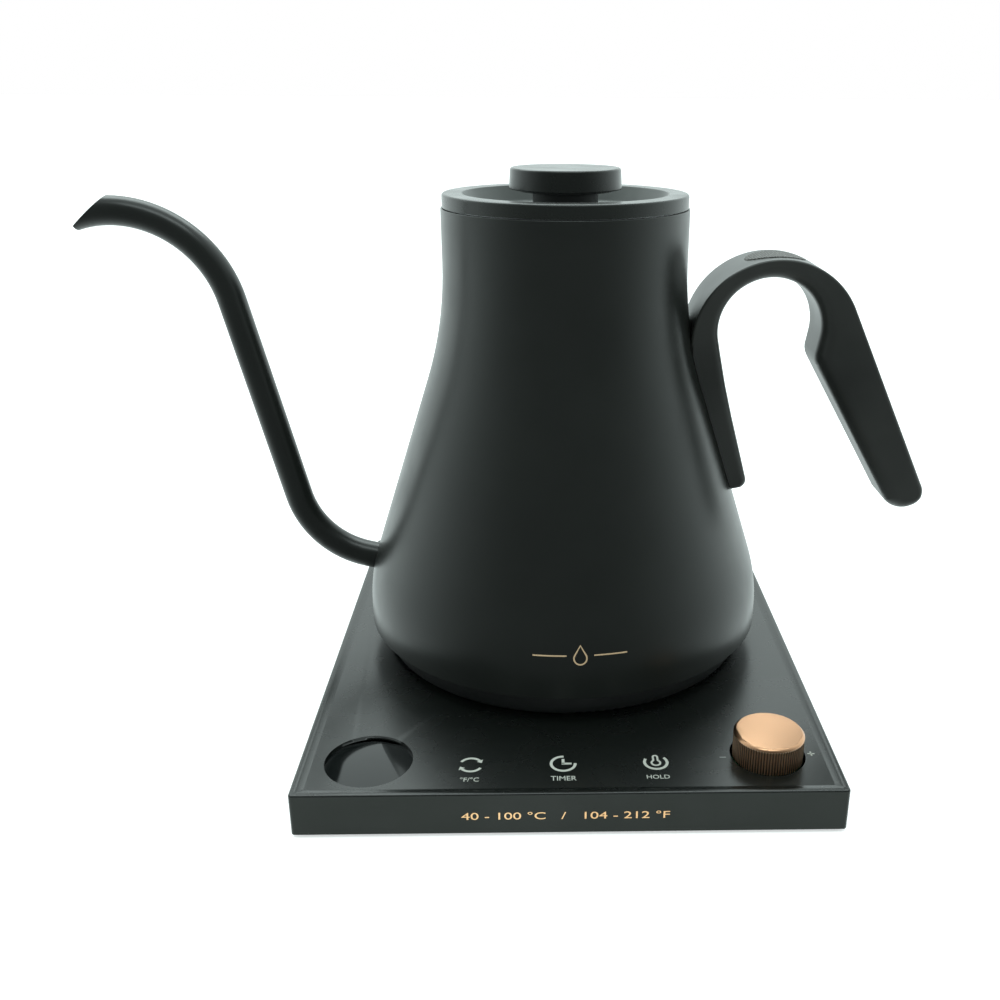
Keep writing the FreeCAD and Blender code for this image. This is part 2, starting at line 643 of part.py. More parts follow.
def socket_ring():
    half = RING_CONTACT_WALL / 2
    return tube(RING_CONTACT + half, RING_CONTACT - half, RING_SPRING_TOP + LOOSE, SOCKET_TOP - 1)


# ---------------------------------------------------------------- kettle body
def body_corners(offset, low, high):
    """Outline corners of the body's wall, moved outwards by offset, from low to high."""
    wide = BODY_RADIUS + offset
    narrow = NECK_RADIUS + offset
    cone_low = SEAM + CONE_START + offset * math.tan(CONE_LEAN / 2)
    cone_high = cone_low + CONE_RISE
    return [(wide, low), (wide, cone_low, LOW_BEND + offset), (narrow, cone_high, NECK_BEND - offset),
            (narrow, high)]


def body_volume(offset, low=SEAM, high=MOUTH):
    return turned(body_corners(offset, low, high) + [(0, high), (0, low)])


def body_wall(low, high):
    """The steel wall between two levels."""
    wall = body_volume(0).cut(body_volume(-BODY_WALL, SEAM - 1, MOUTH + 1))
    return wall.common(disc(BODY_RADIUS + 1, low, high))


def body_shell():
    """Lower drawn wall, from the open lower edge to the weld, with the spout's hole."""
    return body_wall(SEAM, WELD_LEVEL).cut(spout_pipe(SPOUT_RADIUS + RUNNING)).removeSplitter()


def neck_shell():
    """Upper drawn wall, welded on the lower one and ground flush, with a lip at the mouth."""
    wall = body_wall(WELD_LEVEL, MOUTH)
    lip = tube(NECK_RADIUS - BODY_WALL / 2, MOUTH_RADIUS, MOUTH - MOUTH_LIP_HEIGHT, MOUTH)
    wall = wall.fuse(lip)
    edge = [e for e in wall.Edges if e.BoundBox.ZMin > MOUTH - 0.01 and e.BoundBox.XMax > NECK_RADIUS - 0.01]
    return wall.makeFillet(BODY_WALL * 0.4, edge).removeSplitter()


def stud_places():
    return around(STUD_COUNT, UNDERBODY_SCREW_PLACE, STUD_START)


def floor_plate():
    """Steel floor of the water chamber, with the studs that carry the underbody."""
    plate = body_volume(-BODY_WALL - SNUG).common(disc(BODY_RADIUS, FLOOR_UNDER, FLOOR_TOP))
    for place in stud_places():
        stud = disc(BOSS_RADIUS, UNDERBODY_TOP + SNUG, FLOOR_UNDER + 0.5, place)
        plate = plate.fuse(stud).cut(disc(SCREW_RADIUS, UNDERBODY_TOP, FLOOR_UNDER - 1, place))
    probe_hole = disc(PROBE_RADIUS + SNUG, FLOOR_UNDER - 1, FLOOR_TOP + 1, (0, PROBE_PLACE))
    return plate.cut(probe_hole).removeSplitter()


def heat_spreader():
    """Aluminium plate under the floor, notched for the probe and the studs."""
    spreader = disc(SPREADER_RADIUS, SPREADER_UNDER, FLOOR_UNDER)
    spreader = spreader.cut(disc(PROBE_NUT + 1.5, SPREADER_UNDER - 1, FLOOR_UNDER + 1, (0, PROBE_PLACE)))
    for place in stud_places():
        spreader = spreader.cut(disc(BOSS_RADIUS + 1, SPREADER_UNDER - 1, FLOOR_UNDER + 1, place))
    return spreader


def heating_element():
    """Sheathed ring heater, open at the front, with two cold ends that point down."""
    level = SPREADER_UNDER - SNUG / 2 - ELEMENT_TUBE
    ring = Part.makeTorus(ELEMENT_RING, ELEMENT_TUBE, V(0, 0, level), V(0, 0, 1), 0, 360,
                          360 - 2 * ELEMENT_GAP)
    ring.rotate(V(0, 0, 0), V(0, 0, 1), ELEMENT_GAP - 90)
    parts = [ring]
    for angle in (-90 + ELEMENT_GAP, -90 - ELEMENT_GAP):
        x = ELEMENT_RING * math.cos(math.radians(angle))
        y = ELEMENT_RING * math.sin(math.radians(angle))
        parts.append(Part.makeSphere(ELEMENT_TUBE, V(x, y, level)))
        parts.append(disc(ELEMENT_LEAD, UNDERBODY_TOP + 1, level, (x, y)))
    return parts[0].fuse(parts[1:]).removeSplitter()


def thermal_cutoff():
    """Snap disc under the middle of the spreader, with a flat tab on each side."""
    low = SPREADER_UNDER - CUTOFF_HEIGHT
    body = disc(CUTOFF_RADIUS, low, SPREADER_UNDER)
    length, width, thickness = CUTOFF_TAB
    tabs = block(length, width, low + 1, low + 1 + thickness)
    return body.fuse(tabs).removeSplitter()


def temperature_probe():
    """Steel finger that stands up into the water, held by a nut under the floor."""
    place = (0, PROBE_PLACE)
    stem = disc(PROBE_RADIUS, FLOOR_UNDER - 4.0, FLOOR_TOP + PROBE_RISE, place)
    stem = rounded_top(stem, PROBE_RADIUS * 0.8)
    nut = disc(PROBE_NUT, FLOOR_UNDER - 2.0, FLOOR_UNDER, place)
    return stem.fuse(nut).removeSplitter()


def underbody():
    """Plastic cover under the kettle: a tapered skirt, a spigot in the shell and a plate."""
    skirt_top = SEAM - SNUG
    outer = BODY_RADIUS - UNDERBODY_STEP
    spigot = BODY_RADIUS - BODY_WALL - SNUG
    spigot_top = SEAM + UNDERBODY_SPIGOT
    inner = spigot - UNDERBODY_WALL
    hole = SOCKET_OUTER + LOOSE
    outline = [(hole, UNDERBODY_BOTTOM), (SKIRT_LOW, UNDERBODY_BOTTOM, 1.5), (outer, skirt_top),
               (spigot, SEAM + SNUG), (spigot, spigot_top), (inner, spigot_top), (inner, SEAM - 1.0),
               (SKIRT_LOW - UNDERBODY_WALL, UNDERBODY_TOP), (hole, UNDERBODY_TOP)]
    cover = turned(outline)
    for place in stud_places():
        cover = cover.cut(disc(SCREW_HEAD + SNUG, UNDERBODY_BOTTOM - 1, UNDERBODY_BOTTOM + 1.0, place))
        cover = cover.cut(disc(SCREW_RADIUS + SNUG, UNDERBODY_BOTTOM, UNDERBODY_TOP + 1, place))
    return cover


def underbody_screws():
    low = UNDERBODY_BOTTOM + SCREW_SINK
    tip = FLOOR_UNDER - 4
    return group([screw(low, tip, p, head_height=FLAT_HEAD_HEIGHT) for p in stud_places()])


# ---------------------------------------------------------------- spout
def mirrored(length, degrees):
    """Like polar, but measured above -X, the way the spout points."""
    point = polar(length, degrees)
    return V(-point.x, 0, point.z)


def spout_path():
    """The tube's axis, out of the body, up and over, and the centre of its last bend."""
    heading = SPOUT_ROOT_TILT
    root = V(SPOUT_ROOT_INSET - BODY_RADIUS, 0, SEAM + SPOUT_ROOT_HEIGHT)
    at = root - mirrored(SPOUT_INSIDE, heading)
    steps = [(SPOUT_INSIDE + SPOUT_STRAIGHT, SPOUT_LOW_BEND, SPOUT_RISE_TILT - SPOUT_ROOT_TILT),
             (SPOUT_RISE, SPOUT_TOP_BEND, -SPOUT_RISE_TILT - SPOUT_DROOP)]
    edges = []
    for run, radius, turn in steps:
        bend = at + mirrored(run, heading)
        edges.append(Part.LineSegment(at, bend).toShape())
        side = math.copysign(90, turn)
        centre = bend + mirrored(radius, heading + side)
        middle = centre + mirrored(radius, heading - side + turn / 2)
        at = centre + mirrored(radius, heading - side + turn)
        edges.append(Part.Arc(bend, middle, at).toShape())
        heading += turn
    return Part.Wire(edges), centre


def spout_pipe(radius):
    path, _ = spout_path()
    first = path.Edges[0]
    ring = Part.makeCircle(radius, first.valueAt(first.FirstParameter), first.tangentAt(first.FirstParameter))
    return path.makePipeShell([Part.Wire(ring)], True, False)


def spout_tube():
    """Bent steel tube, flush with the inside of the shell, its tip cut at a slant from its top."""
    pipe = spout_pipe(SPOUT_RADIUS).cut(spout_pipe(SPOUT_RADIUS - SPOUT_WALL))
    pipe = pipe.cut(body_volume(-BODY_WALL))
    _, centre = spout_path()
    highest = centre + V(0, 0, SPOUT_TOP_BEND + SPOUT_RADIUS)
    size = 8 * SPOUT_RADIUS
    knife = Part.makeBox(size, size, size, V(-size + SPOUT_RADIUS, -size / 2, 0))
    knife.rotate(V(0, 0, 0), V(0, 1, 0), -TIP_CUT_TILT)
    knife.translate(highest)
    return pipe.cut(knife)


# ---------------------------------------------------------------- handle
def handle_back_line():
    """Where the arch's round back meets the straight back of the grip."""
    return V(ARCH_CENTRE, 0, ARCH_LEVEL) + polar(ARCH_RADIUS, GRIP_TILT)


def handle_outline():
    """Side view of the moulding, clockwise from inside the body."""
    lean = math.tan(math.radians(GRIP_TILT))
    tangent = handle_back_line()
    back_top = (tangent.x - (HANDLE_APEX - tangent.z) * lean, HANDLE_APEX, ARCH_RADIUS)
    down = polar(1, GRIP_TILT - 90)
    across = polar(1, GRIP_TILT + 180)
    end_back = tangent + down * GRIP_LENGTH
    end_loop = end_back + across * GRIP_END
    hump_level = ARCH_UNDER - GRIP_HUMP_DROP
    loop_lean = math.tan(math.radians(GRIP_TILT + GRIP_TAPER))
    hump = (end_loop.x - (hump_level - end_loop.z) * loop_lean, hump_level)
    inner_right = hump[0] + (ARCH_UNDER - hump_level) * math.tan(math.radians(STOP_LEAN))
    right_turn = math.tan(math.radians(45 + STOP_LEAN / 2))
    left_turn = math.tan(math.radians(45) + math.atan(strip_slope(ARCH_UNDER)) / 2)
    inner_radius = (inner_right - STRIP_HEAD - 0.1) / (right_turn + left_turn)
    strip_turn = math.atan(strip_slope(STRIP_LOW)) - math.atan(strip_slope(ARCH_UNDER))
    strip_room = ARCH_UNDER - STRIP_MIDDLE - inner_radius * left_turn - LOOSE
    strip_curve = min(STRIP_CURVE, strip_room / math.tan(strip_turn / 2))
    inside = ARCH_CENTRE - ARCH_RADIUS
    return [(inside, BRACKET_LOW + SEAM), (inside, HANDLE_APEX, ARCH_RADIUS), back_top,
            (end_back.x, end_back.z, GRIP_END_ROUND), (end_loop.x, end_loop.z, GRIP_END_ROUND),
            (hump[0], hump[1], GRIP_HUMP_ROUND), (inner_right, ARCH_UNDER, inner_radius),
            (STRIP_HEAD, ARCH_UNDER, inner_radius), (strip_face(STRIP_MIDDLE), STRIP_MIDDLE, strip_curve),
            (STRIP_FOOT, STRIP_LOW, STRIP_END_ROUND),
            (inside + 8.0, STRIP_LOW - STRIP_END_DROP)]


def strip_slope(z):
    """How fast the strip's loop side moves out as it goes down, above or below its middle."""
    half = (ARCH_UNDER - STRIP_LOW) / 2
    middle = (STRIP_FOOT + STRIP_HEAD) / 2 - STRIP_HOLLOW
    if z > STRIP_MIDDLE:
        return (middle - STRIP_HEAD) / half
    return (STRIP_FOOT - middle) / half


def strip_face(z):
    """Distance from the axis to the strip's loop side at a height."""
    middle = (STRIP_FOOT + STRIP_HEAD) / 2 - STRIP_HOLLOW
    return middle - (z - STRIP_MIDDLE) * strip_slope(z)


def cover_band(depth, grow, width):
    """Band along the back of the handle, from beside the pad to near the grip's end."""
    start = COVER_START + grow * 2
    middle = (start + GRIP_TILT) / 2
    centre = V(ARCH_CENTRE, 0, ARCH_LEVEL)
    outer = [centre + polar(ARCH_RADIUS, angle) for angle in (start, middle, GRIP_TILT)]
    inner = [centre + polar(ARCH_RADIUS - depth, angle) for angle in (start, middle, GRIP_TILT)]
    down = polar(GRIP_LENGTH - GRIP_END + grow, GRIP_TILT - 90)
    corners = [outer[2], outer[2] + down, inner[2] + down, inner[2]]
    edges = [Part.LineSegment(corners[i], corners[i + 1]).toShape() for i in range(3)]
    edges.append(Part.Arc(inner[2], inner[1], inner[0]).toShape())
    edges.append(Part.LineSegment(inner[0], outer[0]).toShape())
    edges.append(Part.Arc(outer[0], outer[1], outer[2]).toShape())
    face = Part.Face(Part.Wire(edges))
    face.translate(V(0, -width / 2, 0))
    return face.extrude(V(0, width, 0))


def arch_rod(radius):
    """Wide rod along the arch's own axis."""
    start = V(ARCH_CENTRE, -PAD_WIDTH, ARCH_LEVEL)
    return Part.makeCylinder(radius, 2 * PAD_WIDTH, start, V(0, 1, 0))


def pad_solid(grow, thickness):
    """Oval slice of the arch's top."""
    radius = ARCH_RADIUS + PAD_RISE
    oval = Part.Ellipse(V(ARCH_CENTRE, 0, ARCH_LEVEL), PAD_LENGTH / 2 + grow, PAD_WIDTH / 2 + grow).toShape()
    column = Part.Face(Part.Wire(oval)).extrude(V(0, 0, 2 * ARCH_RADIUS))
    return arch_rod(radius).cut(arch_rod(radius - thickness)).common(column)


def bracket_plate(grow):
    """Slice of a second skin on the body, behind the handle's strip."""
    skin = body_volume(BRACKET_PLATE + grow).cut(body_volume(SNUG))
    width = BRACKET_WIDTH + 2 * grow
    low = SEAM + BRACKET_LOW - grow
    high = SEAM + BRACKET_HIGH + grow
    window = Part.makeBox(BODY_RADIUS * 2, width, high - low, V(0, -width / 2, low))
    return skin.common(window)


def handle_screw_line(level):
    """Where a handle screw's head begins on the strip, and the way it points, square to the body."""
    z = SEAM + level
    inward = polar(1, 180 + math.degrees(CONE_LEAN))
    return V(strip_face(z), 0, z) + inward * HANDLE_SCREW_SINK, inward


def handle_screws():
    screws = []
    for level in HANDLE_SCREWS:
        start, inward = handle_screw_line(level)
        head = Part.makeCylinder(HANDLE_SCREW_HEAD, HANDLE_SCREW_HEAD_HEIGHT, start, inward)
        slot = Part.makeBox(SCREW_HEAD * 2, 0.7, 0.6, V(-SCREW_HEAD, -0.35, 0))
        slot.rotate(V(0, 0, 0), V(0, 1, 0), -90 - math.degrees(CONE_LEAN))
        slot.translate(start)
        shank = Part.makeCylinder(SCREW_RADIUS, BODY_RADIUS, start + inward * 0.8, inward)
        shank = shank.cut(body_volume(SNUG))
        near = min(shank.Solids, key=lambda s: s.CenterOfMass.distanceToPoint(start))
        screws.append(head.cut(slot).fuse(near).removeSplitter())
    return group(screws)


def handle_bracket():
    """Plate welded on the body, drilled for the two screws that hold the handle."""
    plate = bracket_plate(0)
    for level in HANDLE_SCREWS:
        start, inward = handle_screw_line(level)
        plate = plate.cut(Part.makeCylinder(SCREW_RADIUS, BODY_RADIUS, start, inward))
    return largest(plate)


def handle_grip():
    """Main moulding: strip on the body, arch and open grip, with flat sides."""
    solid = plate_xz(handle_outline(), HANDLE_WIDTH)
    half = HANDLE_WIDTH / 2
    rims = [e for e in solid.Edges if abs(abs(e.BoundBox.YMin) - half) < 0.01
            and abs(e.BoundBox.YMax - e.BoundBox.YMin) < 0.01]
    solid = solid.makeFillet(HANDLE_EDGE, rims)
    solid = largest(solid.cut(body_volume(SNUG)))
    solid = solid.cut(bracket_plate(SNUG))
    cover_width = HANDLE_WIDTH - 2 * COVER_MARGIN
    solid = solid.cut(cover_band(COVER_THICKNESS + SNUG, SNUG, cover_width + 2 * SNUG))
    solid = solid.cut(pad_solid(SNUG, PAD_THICKNESS + SNUG))
    for level in HANDLE_SCREWS:
        start, inward = handle_screw_line(level)
        outside = start - inward * 2 * HANDLE_SCREW_SINK
        pocket = 2 * HANDLE_SCREW_SINK + HANDLE_SCREW_HEAD_HEIGHT
        solid = solid.cut(Part.makeCylinder(HANDLE_SCREW_HEAD + SNUG, pocket, outside, inward))
        solid = solid.cut(Part.makeCylinder(SCREW_RADIUS + SNUG, BODY_RADIUS, start, inward))
    return largest(solid)


def handle_cover():
    return cover_band(COVER_THICKNESS, 0, HANDLE_WIDTH - 2 * COVER_MARGIN)


def thumb_pad():
    return pad_solid(0, PAD_THICKNESS)


# ---------------------------------------------------------------- lid
def lid_cover():
    """Flat ring with a sunken dish, and a spigot that holds the inner cup."""
    spigot = SKIRT_RADIUS - LID_SKIRT_WALL - SNUG
    floor_radius = DISH_RADIUS - DISH_WALL_RUN
    outline = [(SCREW_RADIUS + SNUG, DISH_UNDER), (floor_radius, DISH_UNDER, 2.0),
               (spigot - LID_SHEET, LID_TOP - LID_SHEET), (spigot - LID_SHEET, DISH_UNDER),
               (spigot, DISH_UNDER), (spigot, LID_BOTTOM), (LID_RADIUS, LID_BOTTOM),
               (LID_RADIUS, LID_TOP, LID_ROUND), (DISH_RADIUS, LID_TOP, DISH_TOP_ROUND),
               (floor_radius, DISH_FLOOR, DISH_FLOOR_ROUND), (SCREW_RADIUS + SNUG, DISH_FLOOR)]
    return turned(outline)


def lid_inner_cup():
    """Steel cup under the lid, with steam vents and a post for the screw."""
    outer = SKIRT_RADIUS
    inner = outer - LID_SKIRT_WALL
    bottom = MOUTH - LID_SKIRT_DROP
    floor = bottom + LID_SKIRT_WALL
    post_top = DISH_UNDER - SNUG
    outline = [(SCREW_RADIUS + SNUG, bottom), (outer, bottom, 1.5), (outer, LID_BOTTOM - SNUG),
               (inner, LID_BOTTOM - SNUG), (inner, floor, 0.7), (LID_POST_RADIUS, floor),
               (LID_POST_RADIUS, post_top), (SCREW_RADIUS + SNUG, post_top)]
    cup = turned(outline)
    groove_low = MOUTH - GASKET_DROP - GASKET_HEIGHT
    cup = cup.cut(tube(outer + 1, outer - LID_SKIRT_WALL / 2, groove_low, groove_low + GASKET_HEIGHT))
    circle = around(VENT_COUNT, VENT_CIRCLE * outer)
    return cup.cut([disc(VENT_RADIUS, bottom - 1, floor + 1, place) for place in circle])


def lid_gasket():
    """Silicone ring in the cup's groove, with two soft lips."""
    seat = SKIRT_RADIUS - LID_SKIRT_WALL / 2 + SNUG
    low = MOUTH - GASKET_DROP - GASKET_HEIGHT + SNUG
    high = low + GASKET_HEIGHT - 2 * SNUG
    lip = MOUTH_RADIUS - SNUG
    root = SKIRT_RADIUS + SNUG
    outline = [(seat, low), (root, low), (lip, low + GASKET_LIP / 4), (root, low + GASKET_LIP),
               (root, high - GASKET_LIP), (lip, high - GASKET_LIP / 4), (root, high), (seat, high)]
    return turned(outline)


def lid_stem():
    """Post between the dish and the knob, with a wider shoulder under the knob."""
    shoulder = KNOB_RADIUS - SHOULDER_INSET
    outline = [(SCREW_RADIUS, DISH_FLOOR), (STEM_RADIUS + STEM_FOOT, DISH_FLOOR),
               (STEM_RADIUS, DISH_FLOOR + STEM_FOOT_RISE), (STEM_RADIUS, KNOB_BOTTOM - 2 * SHOULDER_HEIGHT),
               (shoulder, KNOB_BOTTOM - SHOULDER_HEIGHT), (shoulder, KNOB_BOTTOM),
               (SCREW_RADIUS, KNOB_BOTTOM)]
    return turned(outline)


def lid_knob():
    """Low round cap with a slightly flared side."""
    hole_top = KNOB_TOP - KNOB_SCREW_DEPTH
    outline = [(0, KNOB_TOP), (KNOB_RADIUS - KNOB_FLARE, KNOB_TOP, KNOB_ROUND),
               (KNOB_RADIUS, KNOB_BOTTOM, KNOB_ROUND / 2), (SCREW_RADIUS, KNOB_BOTTOM),
               (SCREW_RADIUS, hole_top), (0, hole_top)]
    return turned(outline)


def lid_screw():
    low = MOUTH - LID_SKIRT_DROP - SCREW_HEAD_HEIGHT
    return screw(low, KNOB_TOP - KNOB_SCREW_DEPTH - 0.5, (0, 0), SCREW_HEAD + 0.5)


# ---------------------------------------------------------------- write every node
NODES = [base_top_cover, base_bottom_cover, rubber_feet, base_screws, display_lens, display_module,
         control_board, touch_springs, encoder_body, encoder_rotor, encoder_shaft, dial_knob, power_board,
         power_triac, filter_capacitor, terminal_block, cord_gland, base_connector, base_contacts,
         kettle_socket, socket_pin, socket_ring, body_shell, neck_shell, spout_tube, floor_plate, heat_spreader,
         heating_element, thermal_cutoff, temperature_probe, underbody, underbody_screws, handle_bracket,
         handle_screws, handle_grip, handle_cover, thumb_pad, lid_cover, lid_inner_cup, lid_gasket,
         lid_stem, lid_knob, lid_screw]


def main():
    os.makedirs("parts", exist_ok=True)
    shapes = {make.__name__: make() for make in NODES}
    boxes = [shape.BoundBox for shape in shapes.values()]
    middle_x = (min(b.XMin for b in boxes) + max(b.XMax for b in boxes)) / 2
    middle_y = (min(b.YMin for b in boxes) + max(b.YMax for b in boxes)) / 2
    print("kettle axis at x = %.3f, y = %.3f" % (-middle_x, -middle_y))
    for name, shape in shapes.items():
        shape.translate(V(-middle_x, -middle_y, 0))
        shape.exportStep("parts/%s.step" % name)
        facts = (name, len(shape.Solids), shape.Volume, shape.isValid())
        print("%-20s %d solid(s) %10.1f mm3  valid %s" % facts)


main()
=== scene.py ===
import json
import math

import bmesh
import bpy
from mathutils import Matrix, Vector


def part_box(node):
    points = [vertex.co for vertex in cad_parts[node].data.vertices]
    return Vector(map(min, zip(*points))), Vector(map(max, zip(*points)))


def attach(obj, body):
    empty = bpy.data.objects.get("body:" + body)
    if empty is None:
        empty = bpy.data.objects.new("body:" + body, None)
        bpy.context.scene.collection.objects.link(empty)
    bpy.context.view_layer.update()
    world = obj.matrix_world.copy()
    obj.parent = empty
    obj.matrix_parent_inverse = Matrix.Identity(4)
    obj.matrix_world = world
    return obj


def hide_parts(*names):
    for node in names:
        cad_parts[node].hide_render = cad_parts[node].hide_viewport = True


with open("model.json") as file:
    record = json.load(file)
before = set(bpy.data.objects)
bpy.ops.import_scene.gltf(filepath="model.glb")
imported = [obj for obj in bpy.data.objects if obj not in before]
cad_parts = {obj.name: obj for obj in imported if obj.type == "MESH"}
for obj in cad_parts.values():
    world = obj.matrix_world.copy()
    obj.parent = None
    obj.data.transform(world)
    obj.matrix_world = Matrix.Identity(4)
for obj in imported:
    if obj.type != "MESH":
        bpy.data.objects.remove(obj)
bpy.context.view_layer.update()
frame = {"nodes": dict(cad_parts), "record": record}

MM = 0.001

# ---------------------------------------------------------------- places, in metres, from the CAD
SHELL_LOW, SHELL_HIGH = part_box("body_shell")
NECK_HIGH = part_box("neck_shell")[1]
COVER_LOW, COVER_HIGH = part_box("base_top_cover")
LENS_LOW, LENS_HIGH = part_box("display_lens")
DIAL_LOW, DIAL_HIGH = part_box("dial_knob")
GRIP_LOW, GRIP_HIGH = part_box("handle_grip")
LID_LOW, LID_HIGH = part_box("lid_cover")
CUP_LOW, CUP_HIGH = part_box("lid_inner_cup")

AXIS = Vector(((SHELL_LOW.x + SHELL_HIGH.x) / 2, (SHELL_LOW.y + SHELL_HIGH.y) / 2, 0))
BODY_RADIUS = (SHELL_HIGH.y - SHELL_LOW.y) / 2
SEAM = SHELL_LOW.z
MOUTH = NECK_HIGH.z
BASE_TOP = COVER_HIGH.z
PANEL_TOP = LENS_HIGH.z
FRONT = COVER_LOW.y
LID_TOP = LID_HIGH.z
DIAL_CENTRE = (DIAL_LOW + DIAL_HIGH) / 2

# Body wall, the same shape as the CAD's
NECK_RADIUS = 41.9 * MM
BODY_WALL = 0.8 * MM
CONE_START = 15.1 * MM
NECK_LENGTH = 38.6 * MM
LOW_BEND = 60.0 * MM
NECK_BEND = 130.0 * MM
MOUTH_LIP = 0.5 * MM
MOUTH_LIP_HEIGHT = 1.2 * MM
MOUTH_ROUND_SHARE = 0.4    # of the wall, rounded at the mouth's outer edge
CONE_RISE = MOUTH - SEAM - CONE_START - NECK_LENGTH
LEAN = math.atan((BODY_RADIUS - NECK_RADIUS) / CONE_RISE)
SPOUT_HOLE = 4.95 * MM     # radius
SPOUT_DRILL = 20 * MM      # length of the tool that opens it
SPOUT_ROOT = (1.4 * MM, 19.4 * MM)     # in from the widest radius, and up from the seam
SPOUT_TILT = math.radians(13)
DISH_RADIUS = 34.6 * MM
DISH_DEPTH = 6.0 * MM
DISH_WALL_RUN = 4.0 * MM
LID_HEIGHT = 4.4 * MM
LID_SHEET = 1.6 * MM
LID_SCREW_HOLE = 1.6 * MM
LID_ROUND = 0.8 * MM
DISH_EDGE_ROUND = 0.5 * MM
DISH_FLOOR_ROUND = 3 * MM
DISH_UNDER_ROUND = 2 * MM

RIM_WIDTH = 3.4 * MM       # of the base's raised rim
RIM_BAND = 0.7 * MM        # how far from that line the rim's step reaches
RIM_SLOPE = 2.1 * MM       # how much the step is stretched outwards into a slope
GLASS_FALL = 1.0 * MM      # how much lower the display glass is at its back edge
GLASS_DOME = 0.35 * MM     # how far the middle stands above its rim
GLASS_EDGE = 0.15 * MM     # chamfer round the glass
GLASS_RINGS = 8

# Handle: side view in mm from the kettle's axis and the table. The third number rounds the outline's
# corner and the fourth rounds the edge between the outline and the flat sides.
HANDLE_CORNERS = [
    (42.9, 86.6, 0, 1.0), (42.9, 156.1, 29.4, 1.0), (90.85, 156.1, 29.4, 1.0), (132.07, 69.68, 6.0, 2.0),
    (120.16, 63.99, 7.0, 5.2), (86.6, 121.2, 7.0, 6.0), (91.6, 149.6, 17.87, 4.6), (48.5, 149.6, 17.87, 3.2),
    (55.79, 112.4, 300.0, 2.8), (66.07, 75.2, 3.0, 2.4), (50.9, 72.7, 0, 1.0)]
HANDLE_SCREWS = ((60.33, 94.48), (55.37, 112.48))
SCREW_POCKET = (2.7 * MM, 4.0 * MM)    # radius and length
PARTING = 0.1 * MM
HANDLE_STEP = 0.4 * MM     # least distance between points of the handle's outline
EDGE_BLEND = 9             # outline points on either side that share their edge widths

HANDLE_ARC = 2.5           # degrees between points on the handle's corners
HANDLE_RUN = 2.5 * MM      # longest stretch between points on its straight runs
CORE_RADIUS = 30 * MM      # inside radius of the tool that fits the handle to the body
POCKET_OUTSIDE = 0.6       # share of a screw pocket's length that lies outwards of the screw's place

KNURL_COUNT = 80
ROUND_STEPS = 192
ROD_SIDES = 64
FLAT_ANGLE = 0.2           # faces that meet at less than this many degrees become one
SHARP_ANGLE = 32           # edges sharper than this many degrees stay sharp
ROUND_RINGS = 6
WELD = 1e-6                # mesh points nearer than this many metres are joined
APART = 1e-7               # outline points nearer than this many metres count as one
SIDE_TILT = 0.3            # a face whose normal rises less than this is a side
TOP_TILT = 0.6             # a face whose normal rises more than this is a top


# ---------------------------------------------------------------- materials
def new_material(name, colour, roughness, metallic=0.0, coat=0.0):
    """Principled material and the nodes that later steps add to."""
    material = bpy.data.materials.new(name)
    material.use_nodes = True
    shader = material.node_tree.nodes["Principled BSDF"]
    shader.inputs["Base Color"].default_value = (*colour, 1)
    shader.inputs["Roughness"].default_value = roughness
    shader.inputs["Metallic"].default_value = metallic
    shader.inputs["Coat Weight"].default_value = coat
    return material, shader


def add_node(material, kind, **values):
    """New node; a value sets the input of that name, or else the node's own property."""
    node = material.node_tree.nodes.new(kind)
    for key, value in values.items():
        if key in node.inputs:
            node.inputs[key].default_value = value
        else:
            setattr(node, key, value)
    return node


def link(material, source, target):
    material.node_tree.links.new(source, target)


def object_coordinates(material, stretch=(1, 1, 1)):
    coordinates = add_node(material, "ShaderNodeTexCoord")
    mapping = add_node(material, "ShaderNodeMapping", Scale=stretch)
    link(material, coordinates.outputs["Object"], mapping.inputs["Vector"])
    return mapping.outputs["Vector"]


def noise(material, vector, scale, detail=3.0):
    """Noise texture whose scale is in features per metre."""
    texture = add_node(material, "ShaderNodeTexNoise", Scale=scale, Detail=detail)
    link(material, vector, texture.inputs["Vector"])
    return texture.outputs["Fac"]


def spread(material, value, low, high, from_low=0.3, from_high=0.7):
    """Map a 0 to 1 texture value to a range."""
    node = add_node(material, "ShaderNodeMapRange")
    node.inputs["From Min"].default_value = from_low
    node.inputs["From Max"].default_value = from_high
    node.inputs["To Min"].default_value = low
    node.inputs["To Max"].default_value = high
    link(material, value, node.inputs["Value"])
    return node.outputs["Result"]


def blend_colours(material, value, first, second):
    """Colour between two, by a 0 to 1 value."""
    mix = add_node(material, "ShaderNodeMix", data_type="RGBA")
    colour_inputs = [s for s in mix.inputs if s.type == "RGBA"]
    colour_inputs[0].default_value = (*first, 1)
    colour_inputs[1].default_value = (*second, 1)
    link(material, value, mix.inputs["Factor"])
    return [s for s in mix.outputs if s.type == "RGBA"][0]


def add_bump(material, shader, height, strength, distance):
    bump = add_node(material, "ShaderNodeBump", Strength=strength, Distance=distance)
    link(material, height, bump.inputs["Height"])
    link(material, bump.outputs["Normal"], shader.inputs["Normal"])


DRIFT_DETAIL = 4
SMUDGE_DETAIL = 5
SMUDGE_FINER = 2.3         # how much finer the uneven gloss is than the colour drift
GRAIN_DETAIL = 2
GRAIN_STRENGTH = 0.5


